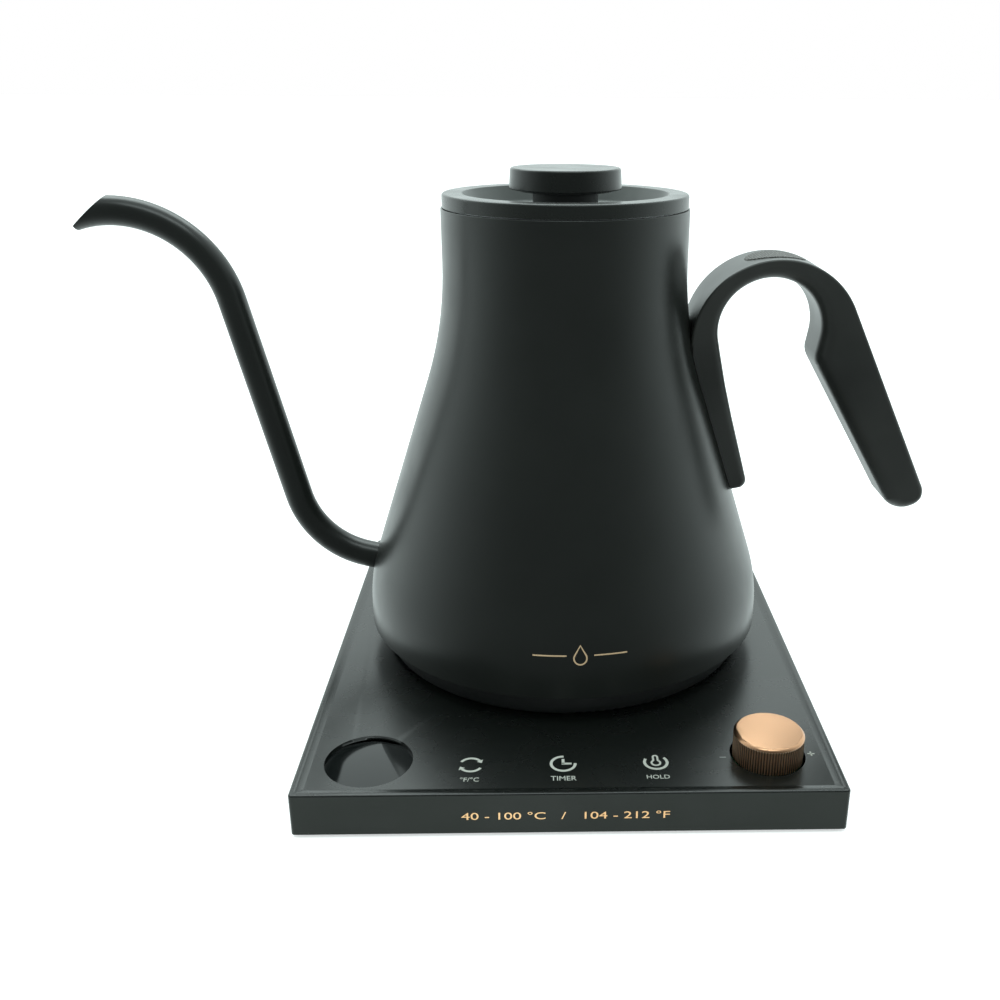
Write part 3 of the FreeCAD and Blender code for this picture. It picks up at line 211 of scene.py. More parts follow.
def surface(name, dark, light, roughness, grain, metallic=0.0, coat=0.0, wear=0.06, stretch=(1, 1, 1),
            bump_depth=0.02, blotch=35, specular=0.5):
    """Moulded, painted or metal surface: slow colour drift, uneven gloss and a fine grain."""
    material, shader = new_material(name, dark, roughness, metallic, coat)
    shader.inputs["Specular IOR Level"].default_value = specular
    vector = object_coordinates(material, stretch)
    drift = spread(material, noise(material, vector, blotch, DRIFT_DETAIL), 0, 1)
    link(material, blend_colours(material, drift, dark, light), shader.inputs["Base Color"])
    smudge = noise(material, vector, blotch * SMUDGE_FINER, SMUDGE_DETAIL)
    link(material, spread(material, smudge, roughness - wear, roughness + wear), shader.inputs["Roughness"])
    add_bump(material, shader, noise(material, vector, grain, GRAIN_DETAIL), GRAIN_STRENGTH, bump_depth * MM)
    return material


BLACK = (0.0062, 0.0073, 0.0064)
BLACK_LIGHT = (0.0076, 0.0089, 0.0078)
body_paint = surface("body_paint", BLACK, BLACK_LIGHT,
                     roughness=0.31, grain=1200, wear=0.03, bump_depth=0.003)
base_paint = surface("base_paint", (0.0040, 0.0050, 0.0044), (0.0052, 0.0064, 0.0056),
                     roughness=0.27, grain=900, wear=0.015, bump_depth=0.0012, specular=0.68)
# Paler copy of the base's black paint for the cover's four outer walls: painted light on those walls.
base_side_painted_light = surface("base_side_painted_light", (0.022, 0.025, 0.022), (0.026, 0.029, 0.026),
                    roughness=0.4, grain=2200, bump_depth=0.006)
lid_paint = surface("lid_paint", BLACK, BLACK_LIGHT,
                    roughness=0.27, grain=1500, wear=0.04, bump_depth=0.006)
dish_paint = surface("dish_paint", (0.034, 0.039, 0.037), (0.070, 0.078, 0.074),
                     roughness=0.36, grain=2600, bump_depth=0.06)
handle_plastic = surface("handle_plastic", (0.010, 0.011, 0.010), (0.026, 0.027, 0.025),
                         roughness=0.34, grain=3000, wear=0.04, bump_depth=0.004, blotch=14)
black_plastic = surface("black_plastic", (0.010, 0.011, 0.011), (0.016, 0.017, 0.017),
                        roughness=0.5, grain=1800)
dark_rubber = surface("dark_rubber", (0.015, 0.015, 0.015), (0.025, 0.025, 0.025),
                      roughness=0.75, grain=900, bump_depth=0.05)
silicone = surface("silicone", (0.30, 0.31, 0.31), (0.38, 0.39, 0.39),
                   roughness=0.55, grain=700)
cream_plastic = surface("cream_plastic", (0.50, 0.48, 0.40), (0.60, 0.58, 0.50),
                        roughness=0.45, grain=900)
board_green = surface("board_green", (0.015, 0.10, 0.04), (0.03, 0.14, 0.06),
                      roughness=0.35, grain=500, coat=0.4)
steel = surface("steel", (0.50, 0.51, 0.52), (0.60, 0.61, 0.62),
                roughness=0.38, grain=1500, metallic=1.0, stretch=(1, 1, 9), bump_depth=0.008)
aluminium = surface("aluminium", (0.65, 0.66, 0.67), (0.74, 0.75, 0.76),
                    roughness=0.42, grain=700, metallic=1.0, bump_depth=0.03)
brass = surface("brass", (0.72, 0.52, 0.22), (0.82, 0.64, 0.32),
                roughness=0.25, grain=900, metallic=1.0)
copper_ink = surface("copper_ink", (0.82, 0.47, 0.22), (0.90, 0.56, 0.28),
                     roughness=0.6, grain=900, metallic=0.1)
bronze_ink = surface("bronze_ink", (0.42, 0.29, 0.17), (0.50, 0.36, 0.22),
                     roughness=0.5, grain=900, metallic=0.2)
pale_ink = surface("pale_ink", (0.36, 0.37, 0.33), (0.44, 0.45, 0.41),
                   roughness=0.5, grain=900)
faint_ink = surface("faint_ink", (0.20, 0.21, 0.20), (0.26, 0.27, 0.26),
                    roughness=0.5, grain=900)
display_black = surface("display_black", (0.004, 0.005, 0.005), (0.006, 0.007, 0.007),
                        roughness=0.05, grain=300, wear=0.02, bump_depth=0.0005)

DIMPLE_JITTER = 0.35
DIMPLE_FLOOR = 0.1         # cell distance at a dimple's bottom
DIMPLE_RIM = 0.55          # and at its rim
DIMPLE_STRENGTH = 0.9
DIMPLE_DEPTH = 0.25 * MM
RING_WOBBLE = 1.5
RING_DETAIL = 2.0
RING_WEAR = 0.08
RING_STRENGTH = 0.3
RING_DEPTH = 0.01 * MM
RIDGE_EDGE = 0.6           # wave value beyond which the ridges' painted highlight or the grooves' painted shade has its full colour
RIDGE_GRAIN = 1500
RIDGE_WEAR = 0.05
RIDGE_STRENGTH = 0.4
RIDGE_DEPTH = 0.006 * MM


def dimpled(name, dark, light, roughness, pitch, specular):
    """Moulded pad with small dimples; its colour is painted shade in the dimples and a painted glint round
    their rims.
    """
    material, shader = new_material(name, dark, roughness)
    shader.inputs["Specular IOR Level"].default_value = specular
    cells = add_node(material, "ShaderNodeTexVoronoi", voronoi_dimensions="2D", Scale=1 / pitch,
                     Randomness=DIMPLE_JITTER)
    link(material, object_coordinates(material), cells.inputs["Vector"])
    height = spread(material, cells.outputs["Distance"], 0, 1, DIMPLE_FLOOR, DIMPLE_RIM)
    # colour follows the dimples: painted shade at their bottoms, painted glint at their rims
    link(material, blend_colours(material, height, dark, light), shader.inputs["Base Color"])
    add_bump(material, shader, height, DIMPLE_STRENGTH, DIMPLE_DEPTH)
    return material


def spun(name, dark, light, roughness, centre, pitch):
    """Turned metal face with fine rings about a centre."""
    material, shader = new_material(name, dark, roughness, 1.0)
    coordinates = add_node(material, "ShaderNodeTexCoord")
    mapping = add_node(material, "ShaderNodeMapping", Location=-centre)
    link(material, coordinates.outputs["Object"], mapping.inputs["Vector"])
    rings = add_node(material, "ShaderNodeTexWave", wave_type="RINGS", rings_direction="Z", Scale=1 / pitch,
                     Distortion=RING_WOBBLE, Detail=RING_DETAIL)
    link(material, mapping.outputs["Vector"], rings.inputs["Vector"])
    link(material, blend_colours(material, rings.outputs["Fac"], dark, light), shader.inputs["Base Color"])
    link(material, spread(material, rings.outputs["Fac"], roughness, roughness + RING_WEAR, 0, 1),
         shader.inputs["Roughness"])
    add_bump(material, shader, rings.outputs["Fac"], RING_STRENGTH, RING_DEPTH)
    return material


def knurled(name, dark, light, roughness, centre, count):
    """Metal side with upright grooves; its colour is painted shade, dark in the grooves, and a painted
    highlight, bright on the ridges between them.
    """
    material, shader = new_material(name, dark, roughness, 1.0)
    coordinates = add_node(material, "ShaderNodeTexCoord")
    mapping = add_node(material, "ShaderNodeMapping", Location=-centre)
    link(material, coordinates.outputs["Object"], mapping.inputs["Vector"])
    parts = add_node(material, "ShaderNodeSeparateXYZ")
    link(material, mapping.outputs["Vector"], parts.inputs["Vector"])
    turn = add_node(material, "ShaderNodeMath", operation="ARCTAN2")
    link(material, parts.outputs["Y"], turn.inputs[0])
    link(material, parts.outputs["X"], turn.inputs[1])
    grooves = add_node(material, "ShaderNodeMath", operation="MULTIPLY")
    grooves.inputs[1].default_value = count
    link(material, turn.outputs["Value"], grooves.inputs[0])
    wave = add_node(material, "ShaderNodeMath", operation="COSINE")
    link(material, grooves.outputs["Value"], wave.inputs[0])
    # painted shade in the grooves and painted highlight on the ridges, by the angle round the dial
    painted_light_on_ridges = spread(material, wave.outputs["Value"], 1, 0, -RIDGE_EDGE, RIDGE_EDGE)
    link(material, blend_colours(material, painted_light_on_ridges, dark, light), shader.inputs["Base Color"])
    grain = noise(material, object_coordinates(material), RIDGE_GRAIN, GRAIN_DETAIL)
    uneven = spread(material, grain, roughness - RIDGE_WEAR, roughness + RIDGE_WEAR)
    link(material, uneven, shader.inputs["Roughness"])
    add_bump(material, shader, grain, RIDGE_STRENGTH, RIDGE_DEPTH)
    return material


# Dark dimple floors and pale rims: painted shade and painted glint on the pad's own dark rubber.
pad_rubber = dimpled("pad_rubber", (0.014, 0.014, 0.013), (0.11, 0.105, 0.098),
                     roughness=0.5, pitch=0.9 * MM, specular=0.24)
copper_face = spun("copper_face", (0.56, 0.315, 0.185), (0.62, 0.355, 0.21),
                   roughness=0.22, centre=DIAL_CENTRE, pitch=0.9 * MM)
# Dial's knurled side: its colours run from painted shade in the grooves to a painted highlight on the ridges.
copper = knurled("copper", (0.42, 0.24, 0.15), (1.0, 0.74, 0.54),
                 roughness=0.48, centre=DIAL_CENTRE, count=KNURL_COUNT)

FINISHES = {
    "body_paint": body_paint, "base_paint": base_paint, "lid_paint": lid_paint,
    "handle_plastic": handle_plastic, "pad_plastic": pad_rubber,
    "black_plastic": black_plastic, "cream_plastic": cream_plastic,
    "dial_copper": copper, "display_black": display_black, "board_green": board_green,
    "dark_rubber": dark_rubber, "silicone": silicone, "steel": steel, "aluminium": aluminium, "brass": brass}

SLOT_OF = {part["node"]: part["material_slot"] for part in frame["record"]["subparts"]}


# ---------------------------------------------------------------- mesh helpers
def new_piece(name, mesh, materials, body):
    for material in materials:
        mesh.materials.append(material)
    piece = bpy.data.objects.new(name, mesh)
    bpy.context.scene.collection.objects.link(piece)
    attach(piece, body)
    return piece


def smooth_sides(piece):
    """Smooth shading that keeps edges sharper than an angle, and keeps flat faces flat."""
    for polygon in piece.data.polygons:
        polygon.use_smooth = True
    piece.data.set_sharp_from_angle(angle=math.radians(SHARP_ANGLE))
    piece.modifiers.new("even_shading", "WEIGHTED_NORMAL").keep_sharp = True


def welded(node):
    """The CAD node's own mesh with its seams joined, to work on."""
    work = bmesh.new()
    work.from_mesh(frame["nodes"][node].data)
    bmesh.ops.remove_doubles(work, verts=work.verts, dist=WELD)
    return work


def as_mesh(work, name):
    mesh = bpy.data.meshes.new(name)
    work.to_mesh(mesh)
    work.free()
    return mesh


def merge_flat(work):
    """Join the triangles of each flat face, so that its shading stays even."""
    bmesh.ops.dissolve_limit(work, angle_limit=math.radians(FLAT_ANGLE), verts=work.verts,
                             edges=work.edges)


def smoothed_copy(node, body, other=None, belongs=None, reshape=None):
    """The CAD node's own shape, smoothly shaded; faces that belong to it get the other material."""
    work = welded(node)
    if reshape:
        reshape(work)
        merge_flat(work)
    mesh = as_mesh(work, node + "_skin")
    materials = [FINISHES[SLOT_OF[node]]]
    if other:
        materials.append(other)
        for polygon in mesh.polygons:
            polygon.material_index = int(belongs(polygon.center, polygon.normal))
    piece = new_piece(node + "_skin", mesh, materials, body)
    smooth_sides(piece)
    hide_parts(node)
    return piece


def grown(node, gap):
    """The CAD node's shape with every point moved outwards, as a tool to cut its recess."""
    work = welded(node)
    work.normal_update()
    for vertex in work.verts:
        vertex.co += vertex.normal * gap
    return as_mesh(work, node + "_recess")


def rod(radius, length, place, direction):
    """Closed cylinder that starts at a place."""
    work = bmesh.new()
    turn = direction.to_track_quat("Z", "Y").to_matrix().to_4x4()
    middle = Matrix.Translation(place + direction.normalized() * length / 2)
    bmesh.ops.create_cone(work, cap_ends=True, segments=ROD_SIDES, radius1=radius, radius2=radius,
                          depth=length, matrix=middle @ turn)
    return as_mesh(work, "rod")


def carved(mesh, cutters):
    """The mesh with every cutter's volume taken away."""
    collection = bpy.context.scene.collection
    holder = bpy.data.objects.new("carving", mesh)
    collection.objects.link(holder)
    tools = []
    for cutter in cutters:
        tool = bpy.data.objects.new("cutter", cutter)
        collection.objects.link(tool)
        tools.append(tool)
        step = holder.modifiers.new("cut", "BOOLEAN")
        step.operation = "DIFFERENCE"
        step.solver = "EXACT"
        step.object = tool
    graph = bpy.context.evaluated_depsgraph_get()
    result = bpy.data.meshes.new_from_object(holder.evaluated_get(graph))
    for thing in tools + [holder]:
        bpy.data.objects.remove(thing)
    return result


# ---------------------------------------------------------------- outlines with rounded corners
def rounded_line(corners, closed=False, arc_degrees=3.0, run_step=None):
    """Points along (x, z, corner radius, value) corners: arcs at the corners, values blended between."""
    count = len(corners)
    stations = []
    for i, (x, z, radius, value) in enumerate(corners):
        here = Vector((x, z))
        if radius == 0 or (not closed and i in (0, count - 1)):
            stations.append(([here], value))
            continue
        before = corners[i - 1]
        after = corners[(i + 1) % count]
        back = (Vector(before[:2]) - here).normalized()
        ahead = (Vector(after[:2]) - here).normalized()
        half = back.angle(ahead) / 2
        start = here + back * (radius / math.tan(half))
        end = here + ahead * (radius / math.tan(half))
        centre = here + (back + ahead).normalized() * (radius / math.sin(half))
        turn = (start - centre).angle_signed(end - centre)
        steps = max(2, math.ceil(abs(math.degrees(turn)) / arc_degrees))
        arc = [centre + Matrix.Rotation(-turn * k / steps, 2) @ (start - centre) for k in range(steps + 1)]
        stations.append((arc, value))
    line = []
    for i, (points, value) in enumerate(stations):
        line += [(point, value) for point in points]
        if i == count - 1 and not closed:
            break
        next_points, next_value = stations[(i + 1) % count]
        gap = next_points[0] - points[-1]
        cuts = int(gap.length / run_step) if run_step else 0
        for k in range(1, cuts + 1):
            share = k / (cuts + 1)
            line.append((points[-1] + gap * share, value + (next_value - value) * share))
    kept = []
    for here, there in zip(line, line[1:] + line[:1]):
        is_open_end = not closed and here is line[-1]
        if is_open_end or (there[0] - here[0]).length > APART:
            kept.append(here)
    return kept


def lathe(corners, arc_degrees=2.0, run_step=3 * MM):
    """Mesh turned about the kettle's axis from a closed outline; a corner's value is its material."""
    outline = rounded_line(corners, True, arc_degrees, run_step)
    work = bmesh.new()
    rings = []
    for step in range(ROUND_STEPS):
        angle = 2 * math.pi * step / ROUND_STEPS
        side = Vector((math.cos(angle), math.sin(angle), 0))
        rings.append([work.verts.new(AXIS + side * p.x + Vector((0, 0, p.y))) for p, _ in outline])
    for step in range(ROUND_STEPS):
        here = rings[step]
        there = rings[(step + 1) % ROUND_STEPS]
        for i in range(len(outline)):
            j = (i + 1) % len(outline)
            face = work.faces.new((here[i], here[j], there[j], there[i]))
            face.material_index = int(outline[i][1])
    bmesh.ops.recalc_face_normals(work, faces=work.faces)
    return as_mesh(work, "lathe")


def body_line(offset, low, high, value=0):
    """Corners of the body's wall moved outwards by offset, from low to high."""
    cone_low = SEAM + CONE_START + offset * math.tan(LEAN / 2)
    return [(BODY_RADIUS + offset, low, 0, value), (BODY_RADIUS + offset, cone_low, LOW_BEND + offset, value),
            (NECK_RADIUS + offset, cone_low + CONE_RISE, NECK_BEND - offset, value),
            (NECK_RADIUS + offset, high, 0, value)]


def body_radius(z):
    """Radius of the body's outside at a height."""
    line = [point for point, _ in rounded_line(body_line(0, SEAM, MOUTH))]
    for low, high in zip(line, line[1:]):
        if low.y <= z <= high.y:
            return low.x + (high.x - low.x) * (z - low.y) / (high.y - low.y)
    return line[-1].x


# ---------------------------------------------------------------- kettle body
def body_mesh():
    """Painted wall, bare steel inside, with a lip at the mouth and the spout's hole."""
    outside = body_line(0, SEAM, MOUTH)
    outside[-1] = (NECK_RADIUS, MOUTH, BODY_WALL * MOUTH_ROUND_SHARE, 0)
    mouth_radius = NECK_RADIUS - BODY_WALL - MOUTH_LIP
    lip_under = MOUTH - MOUTH_LIP_HEIGHT
    lip = [(mouth_radius, MOUTH, 0, 1), (mouth_radius, lip_under, 0, 1)]
    inside = body_line(-BODY_WALL, SEAM, lip_under, 1)
    root = AXIS + Vector((SPOUT_ROOT[0] - BODY_RADIUS, 0, SEAM + SPOUT_ROOT[1]))
    way_out = Vector((-math.cos(SPOUT_TILT), 0, math.sin(SPOUT_TILT)))
    hole = rod(SPOUT_HOLE, SPOUT_DRILL, root - way_out * SPOUT_DRILL / 2, way_out)
    return carved(lathe(outside + lip + inside[::-1]), [hole])


body_piece = new_piece("body_wall", body_mesh(), [body_paint, steel], "kettle")
smooth_sides(body_piece)
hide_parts("body_shell", "neck_shell")


# ---------------------------------------------------------------- handle
def handle_mesh():
    """Side outline with soft edges: wide ones on the loop's side, narrow ones on the back."""
    corners = [(AXIS.x + x * MM, z * MM, r * MM, edge * MM) for x, z, r, edge in HANDLE_CORNERS]
    outline = []
    for point, edge in rounded_line(corners, True, HANDLE_ARC, HANDLE_RUN):
        if not outline or (point - outline[-1][0]).length > HANDLE_STEP:
            outline.append((point, edge))
    count = len(outline)
    reach = range(-EDGE_BLEND, EDGE_BLEND + 1)
    edges = [sum(outline[(i + k) % count][1] for k in reach) / len(reach) for i in range(count)]
    half = (GRIP_HIGH.y - GRIP_LOW.y) / 2
    area = sum(outline[i - 1][0].cross(outline[i][0]) for i in range(count))
    inward = []
    for i in range(count):
        along = outline[(i + 1) % count][0] - outline[i - 1][0]
        inward.append(Vector((-along.y, along.x)).normalized() * math.copysign(1, area))
    levels = [(1, k) for k in range(ROUND_RINGS, -1, -1)] + [(-1, k) for k in range(ROUND_RINGS + 1)]
    work = bmesh.new()
    rings = []
    for side, k in levels:
        angle = math.pi / 2 * k / ROUND_RINGS
        ring = []
        for (point, _), edge, way in zip(outline, edges, inward):
            place = point + way * edge * (1 - math.cos(angle))
            depth = half - edge * (1 - math.sin(angle))
            ring.append(work.verts.new((place.x, AXIS.y + side * depth, place.y)))
        rings.append(ring)
    for here, there in zip(rings, rings[1:]):
        for i in range(count):
            work.faces.new((here[i - 1], here[i], there[i], there[i - 1]))
    work.faces.new(rings[0])
    work.faces.new(rings[-1])
    bmesh.ops.recalc_face_normals(work, faces=work.faces)
    into_body = Vector((-math.cos(LEAN), 0, -math.sin(LEAN)))
    pockets = []
    for x, z in HANDLE_SCREWS:
        head = AXIS + Vector((x, 0, z)) * MM
        start = head - into_body * SCREW_POCKET[1] * POCKET_OUTSIDE
        pockets.append(rod(SCREW_POCKET[0], SCREW_POCKET[1], start, into_body))
    top = MOUTH + CORE_RADIUS          # well clear of the handle's arch
    wall = body_line(PARTING, SEAM, top)
    around_body = [(CORE_RADIUS, SEAM, 0, 0)] + wall + [(CORE_RADIUS, top, 0, 0)]
    tools = [lathe(around_body), grown("thumb_pad", PARTING), grown("handle_cover", PARTING)] + pockets
    mesh = carved(as_mesh(work, "handle"), tools)
    work = bmesh.new()
    work.from_mesh(mesh)
    merge_flat(work)
    return as_mesh(work, "handle")


handle_piece = new_piece("handle_moulding", handle_mesh(), [handle_plastic], "kettle")
smooth_sides(handle_piece)
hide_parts("handle_grip")


# ---------------------------------------------------------------- lid cover
def lid_mesh():
    """Flat ring with a sunken, rougher dish, and the spigot under it."""
    spigot = (CUP_HIGH.x - CUP_LOW.x) / 2 - BODY_WALL - PARTING
    floor = LID_TOP - DISH_DEPTH
    under = floor - LID_SHEET
    bottom = LID_TOP - LID_HEIGHT
    floor_radius = DISH_RADIUS - DISH_WALL_RUN
    radius = (LID_HIGH.x - LID_LOW.x) / 2
    inner = spigot - LID_SHEET
    return lathe([
        (LID_SCREW_HOLE, under, 0, 0), (floor_radius, under, DISH_UNDER_ROUND, 0),
        (inner, LID_TOP - LID_SHEET, 0, 0), (inner, under, 0, 0), (spigot, under, 0, 0),
        (spigot, bottom, 0, 0), (radius, bottom, 0, 0), (radius, LID_TOP, LID_ROUND, 0),
        (DISH_RADIUS, LID_TOP, DISH_EDGE_ROUND, 1), (floor_radius, floor, DISH_FLOOR_ROUND, 1),
        (LID_SCREW_HOLE, floor, 0, 1)])


lid_piece = new_piece("lid_ring", lid_mesh(), [lid_paint, dish_paint], "lid")
smooth_sides(lid_piece)
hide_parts("lid_cover")


# ---------------------------------------------------------------- display glass
def glass_mesh():
    """Round glass with a slightly domed face that falls a little towards the back."""
    radius = (LENS_HIGH.x - LENS_LOW.x) / 2
    centre = (LENS_LOW + LENS_HIGH) / 2
    face = (radius - GLASS_EDGE) / GLASS_RINGS
    levels = [(radius, None), (radius, GLASS_EDGE)] + [(face * k, 0) for k in range(GLASS_RINGS, 0, -1)]
    work = bmesh.new()
    rings = []
    for reach, drop in levels:
        ring = []
        for k in range(ROUND_STEPS):
            angle = 2 * math.pi * k / ROUND_STEPS
            away = Vector((math.cos(angle), math.sin(angle))) * reach
            fall = GLASS_FALL * (away.y / radius + 1) / 2 + GLASS_DOME * (reach / radius) ** 2
            height = LENS_LOW.z if drop is None else LENS_HIGH.z - fall - drop
            ring.append(work.verts.new((centre.x + away.x, centre.y + away.y, height)))
        rings.append(ring)
    for here, there in zip(rings, rings[1:]):
        for i in range(ROUND_STEPS):
            work.faces.new((here[i - 1], here[i], there[i], there[i - 1]))
    work.faces.new(rings[0])
    work.faces.new(rings[-1])
    bmesh.ops.recalc_face_normals(work, faces=work.faces)
    return as_mesh(work, "glass")


glass_piece = new_piece("display_glass", glass_mesh(), [display_black], "base")
smooth_sides(glass_piece)
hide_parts("display_lens")


# ---------------------------------------------------------------- every other piece in its CAD shape
def soften_rim(work):
    """Turn the step between the base's rim and its panel into a gentle slope."""
    for vertex in work.verts:
        place = vertex.co
        rise = (place.z - PANEL_TOP) / (BASE_TOP - PANEL_TOP)
        if rise <= 0:
            continue
        for axis in (0, 1):
            low = place[axis] - COVER_LOW[axis]
            high = COVER_HIGH[axis] - place[axis]
            if abs(low - RIM_WIDTH) < RIM_BAND:
                place[axis] -= RIM_SLOPE * rise
            elif abs(high - RIM_WIDTH) < RIM_BAND:
                place[axis] += RIM_SLOPE * rise


def on_base_side(centre, normal):
    """Whether a face is on one of the cover's four outer walls, which get the paler paint as painted light.
    """
    outermost = max(abs(centre.x) - COVER_HIGH.x, centre.y - COVER_HIGH.y, COVER_LOW.y - centre.y)
    return abs(normal.z) < SIDE_TILT and outermost > -PARTING


def on_dial_top(centre, normal):
    """Whether a face is on the dial's flat top."""
    return normal.z > TOP_TILT and centre.z > DIAL_HIGH.z - 1 * MM


SKINNED = {
    "base": ["base_bottom_cover", "rubber_feet", "base_screws", "cord_gland", "base_connector"],
    "kettle_socket": ["kettle_socket"],
    "kettle": ["spout_tube", "floor_plate", "temperature_probe", "underbody", "underbody_screws",
               "handle_screws", "handle_cover", "thumb_pad"],
    "lid": ["lid_inner_cup", "lid_gasket", "lid_stem", "lid_knob", "lid_screw"],
    "dial": ["encoder_shaft"]}
for node, material_slot in SLOT_OF.items():
    mesh = frame["nodes"][node].data
    mesh.materials.clear()
    mesh.materials.append(FINISHES[material_slot])
for body, nodes in SKINNED.items():
    for node in nodes:
        smoothed_copy(node, body)
# the cover's outer walls get the paler paint, painted light
smoothed_copy("base_top_cover", "base", base_side_painted_light, on_base_side, soften_rim)
smoothed_copy("dial_knob", "dial", copper_face, on_dial_top)


# ---------------------------------------------------------------- printed marks, as thin raised ink
INK = 0.04 * MM            # how far it stands out of the surface, and how deep it starts
RING_STEPS = 64


def on_panel(u, v, rise):
    """Place on the base's panel, in mm right of and behind the kettle's axis."""
    return Vector((AXIS.x + u * MM, AXIS.y + v * MM, PANEL_TOP + rise))


def on_front(u, v, rise):
    """Place on the base's front face, in mm right of the axis and above the table."""
    return Vector((AXIS.x + u * MM, FRONT - rise, v * MM))


def on_body(u, v, rise):
    """Place on the body's front, in mm round it and above the table."""
    radius = body_radius(v * MM) + rise
    angle = u * MM / BODY_RADIUS
    return AXIS + Vector((radius * math.sin(angle), -radius * math.cos(angle), v * MM))


def stroke(points, width, closed=False):
    """Quads of a line of even width through (u, v) points."""
    count = len(points)
    left = []
    right = []
    for i in range(count):
        before = points[i - 1] if i or closed else points[i]
        after = points[(i + 1) % count] if i < count - 1 or closed else points[i]
        along = (Vector(after) - Vector(before)).normalized()
        side = Vector((-along.y, along.x)) * width / 2
        left.append(tuple(Vector(points[i]) + side))
        right.append(tuple(Vector(points[i]) - side))
    last = count if closed else count - 1
    return [[left[i], right[i], right[(i + 1) % count], left[(i + 1) % count]] for i in range(last)]


def arc(centre, radius, start, end, steps=36):
    """Points on a circle from one angle to another, in degrees."""
    angles = [math.radians(start + (end - start) * k / steps) for k in range(steps + 1)]
    return [(centre[0] + radius * math.cos(a), centre[1] + radius * math.sin(a)) for a in angles]


def lettering(text, centre, width, height):
    """Faces of a text, stretched to a width and a height about its centre."""
    curve = bpy.data.curves.new("text", "FONT")
    curve.body = text
    curve.resolution_u = 6
    curve.offset = 0.002
    holder = bpy.data.objects.new("text", curve)
    bpy.context.scene.collection.objects.link(holder)
    graph = bpy.context.evaluated_depsgraph_get()
    flat = bpy.data.meshes.new_from_object(holder.evaluated_get(graph))
    bpy.data.objects.remove(holder)
    xs = [v.co.x for v in flat.vertices]
    ys = [v.co.y for v in flat.vertices]
    spread_x = width / (max(xs) - min(xs))
    spread_y = height / (max(ys) - min(ys))
    middle = ((max(xs) + min(xs)) / 2, (max(ys) + min(ys)) / 2)
    placed = [(centre[0] + (v.co.x - middle[0]) * spread_x, centre[1] + (v.co.y - middle[1]) * spread_y)
              for v in flat.vertices]
    return [[placed[i] for i in polygon.vertices] for polygon in flat.polygons]


def printed(name, faces, place, ink, body):
    """Raised ink from flat faces, laid on a surface by its place function."""
    work = bmesh.new()
    for corners in faces:
        low = [work.verts.new(place(u, v, -INK)) for u, v in corners]
        high = [work.verts.new(place(u, v, INK)) for u, v in corners]
        work.faces.new(high)
        work.faces.new(low[::-1])
        for i in range(len(corners)):
            work.faces.new((low[i - 1], low[i], high[i], high[i - 1]))
    bmesh.ops.recalc_face_normals(work, faces=work.faces)
    return new_piece(name, as_mesh(work, name), [ink], body)


def unit_mark():
    """Two arcs that chase each other, with arrowheads."""
    middle = (-30.4, -92.7)
    radius = 3.4
    line = 0.85
    arrowhead = ((radius, 16), (4.5, 37), (2.35, 42))      # radius and angle of its corners
    faces = []
    for turn in (0, 180):
        faces += stroke(arc(middle, radius, 152 - turn, 40 - turn), line)
        faces.append([arc(middle, reach, angle - turn, angle - turn, 1)[0] for reach, angle in arrowhead])
    return faces


def timer_mark():
    """Clock face open at its upper right, with two hands."""
    middle = (-2.0, -92.5)
    line = 0.9
    upright = [(middle[0], middle[1] + 2.4), (middle[0], middle[1])]
    across = [(middle[0] - line / 2, middle[1]), (middle[0] + 2.6, middle[1])]
    face = arc(middle, 3.7, 87, 363, RING_STEPS)
    return stroke(face, line) + stroke(upright, line) + stroke(across, line)


def hold_mark():
    """Thermometer standing in an open ring."""
    middle = (26.7, -92.2)
    ring = stroke(arc(middle, 3.5, 149, 402, RING_STEPS), 0.9)
    bulb = (middle[0], middle[1] - 0.28)
    bulb_radius = 1.35
    top = (middle[0], middle[1] + 2.85)
    neck = 0.68
    opening = math.degrees(math.asin(neck / bulb_radius))
    outline = arc(bulb, bulb_radius, 90 + opening, 450 - opening, 32) + arc(top, neck, 0, 180, 12)
    return ring + stroke(outline, 0.62, True)


def minus_mark():
    return stroke([(46.9, -89.9), (48.9, -89.9)], 0.45)


def plus_mark():
    level = -88.4
    middle = 75.9
    arm = 1.1
    line = 0.5
    upright = stroke([(middle, level - arm), (middle, level + arm)], line)
    return stroke([(middle - arm, level), (middle + arm, level)], line) + upright


def drop_mark():
    """Plain drop between two thin lines."""
    middle = (3.9, 40.0)
    point = (middle[0], middle[1] + 3.3)
    drop = arc((middle[0], middle[1] - 0.9), 2.1, 150, 390, 40)
    lines = []
    for side in (-1, 1):
        reach = [(middle[0] + side * (4.5 + k), middle[1]) for k in range(12)]
        lines += stroke(reach, 0.45)
    return stroke(drop + [point], 0.5, True) + lines


PANEL_MARKS = {
    "unit_mark": unit_mark(), "unit_label": lettering("\u00b0F/\u00b0C", (-30.4, -100.2), 5.7, 2.1),
    "timer_mark": timer_mark(), "timer_label": lettering("TIMER", (-2.0, -100.0), 7.8, 2.2),
    "hold_mark": hold_mark(), "hold_label": lettering("HOLD", (26.7, -99.7), 7.0, 1.9)}
for name, faces in PANEL_MARKS.items():
    printed(name, faces, on_panel, pale_ink, "base")
printed("minus_mark", minus_mark(), on_panel, faint_ink, "base")
printed("plus_mark", plus_mark(), on_panel, pale_ink, "base")
range_text = lettering("40 - 100 \u00b0C   /   104 - 212 \u00b0F", (-1.5, 7.3), 62, 2.6)
printed("range_label", range_text, on_front, copper_ink, "base")
printed("drop_mark", drop_mark(), on_body, bronze_ink, "kettle")

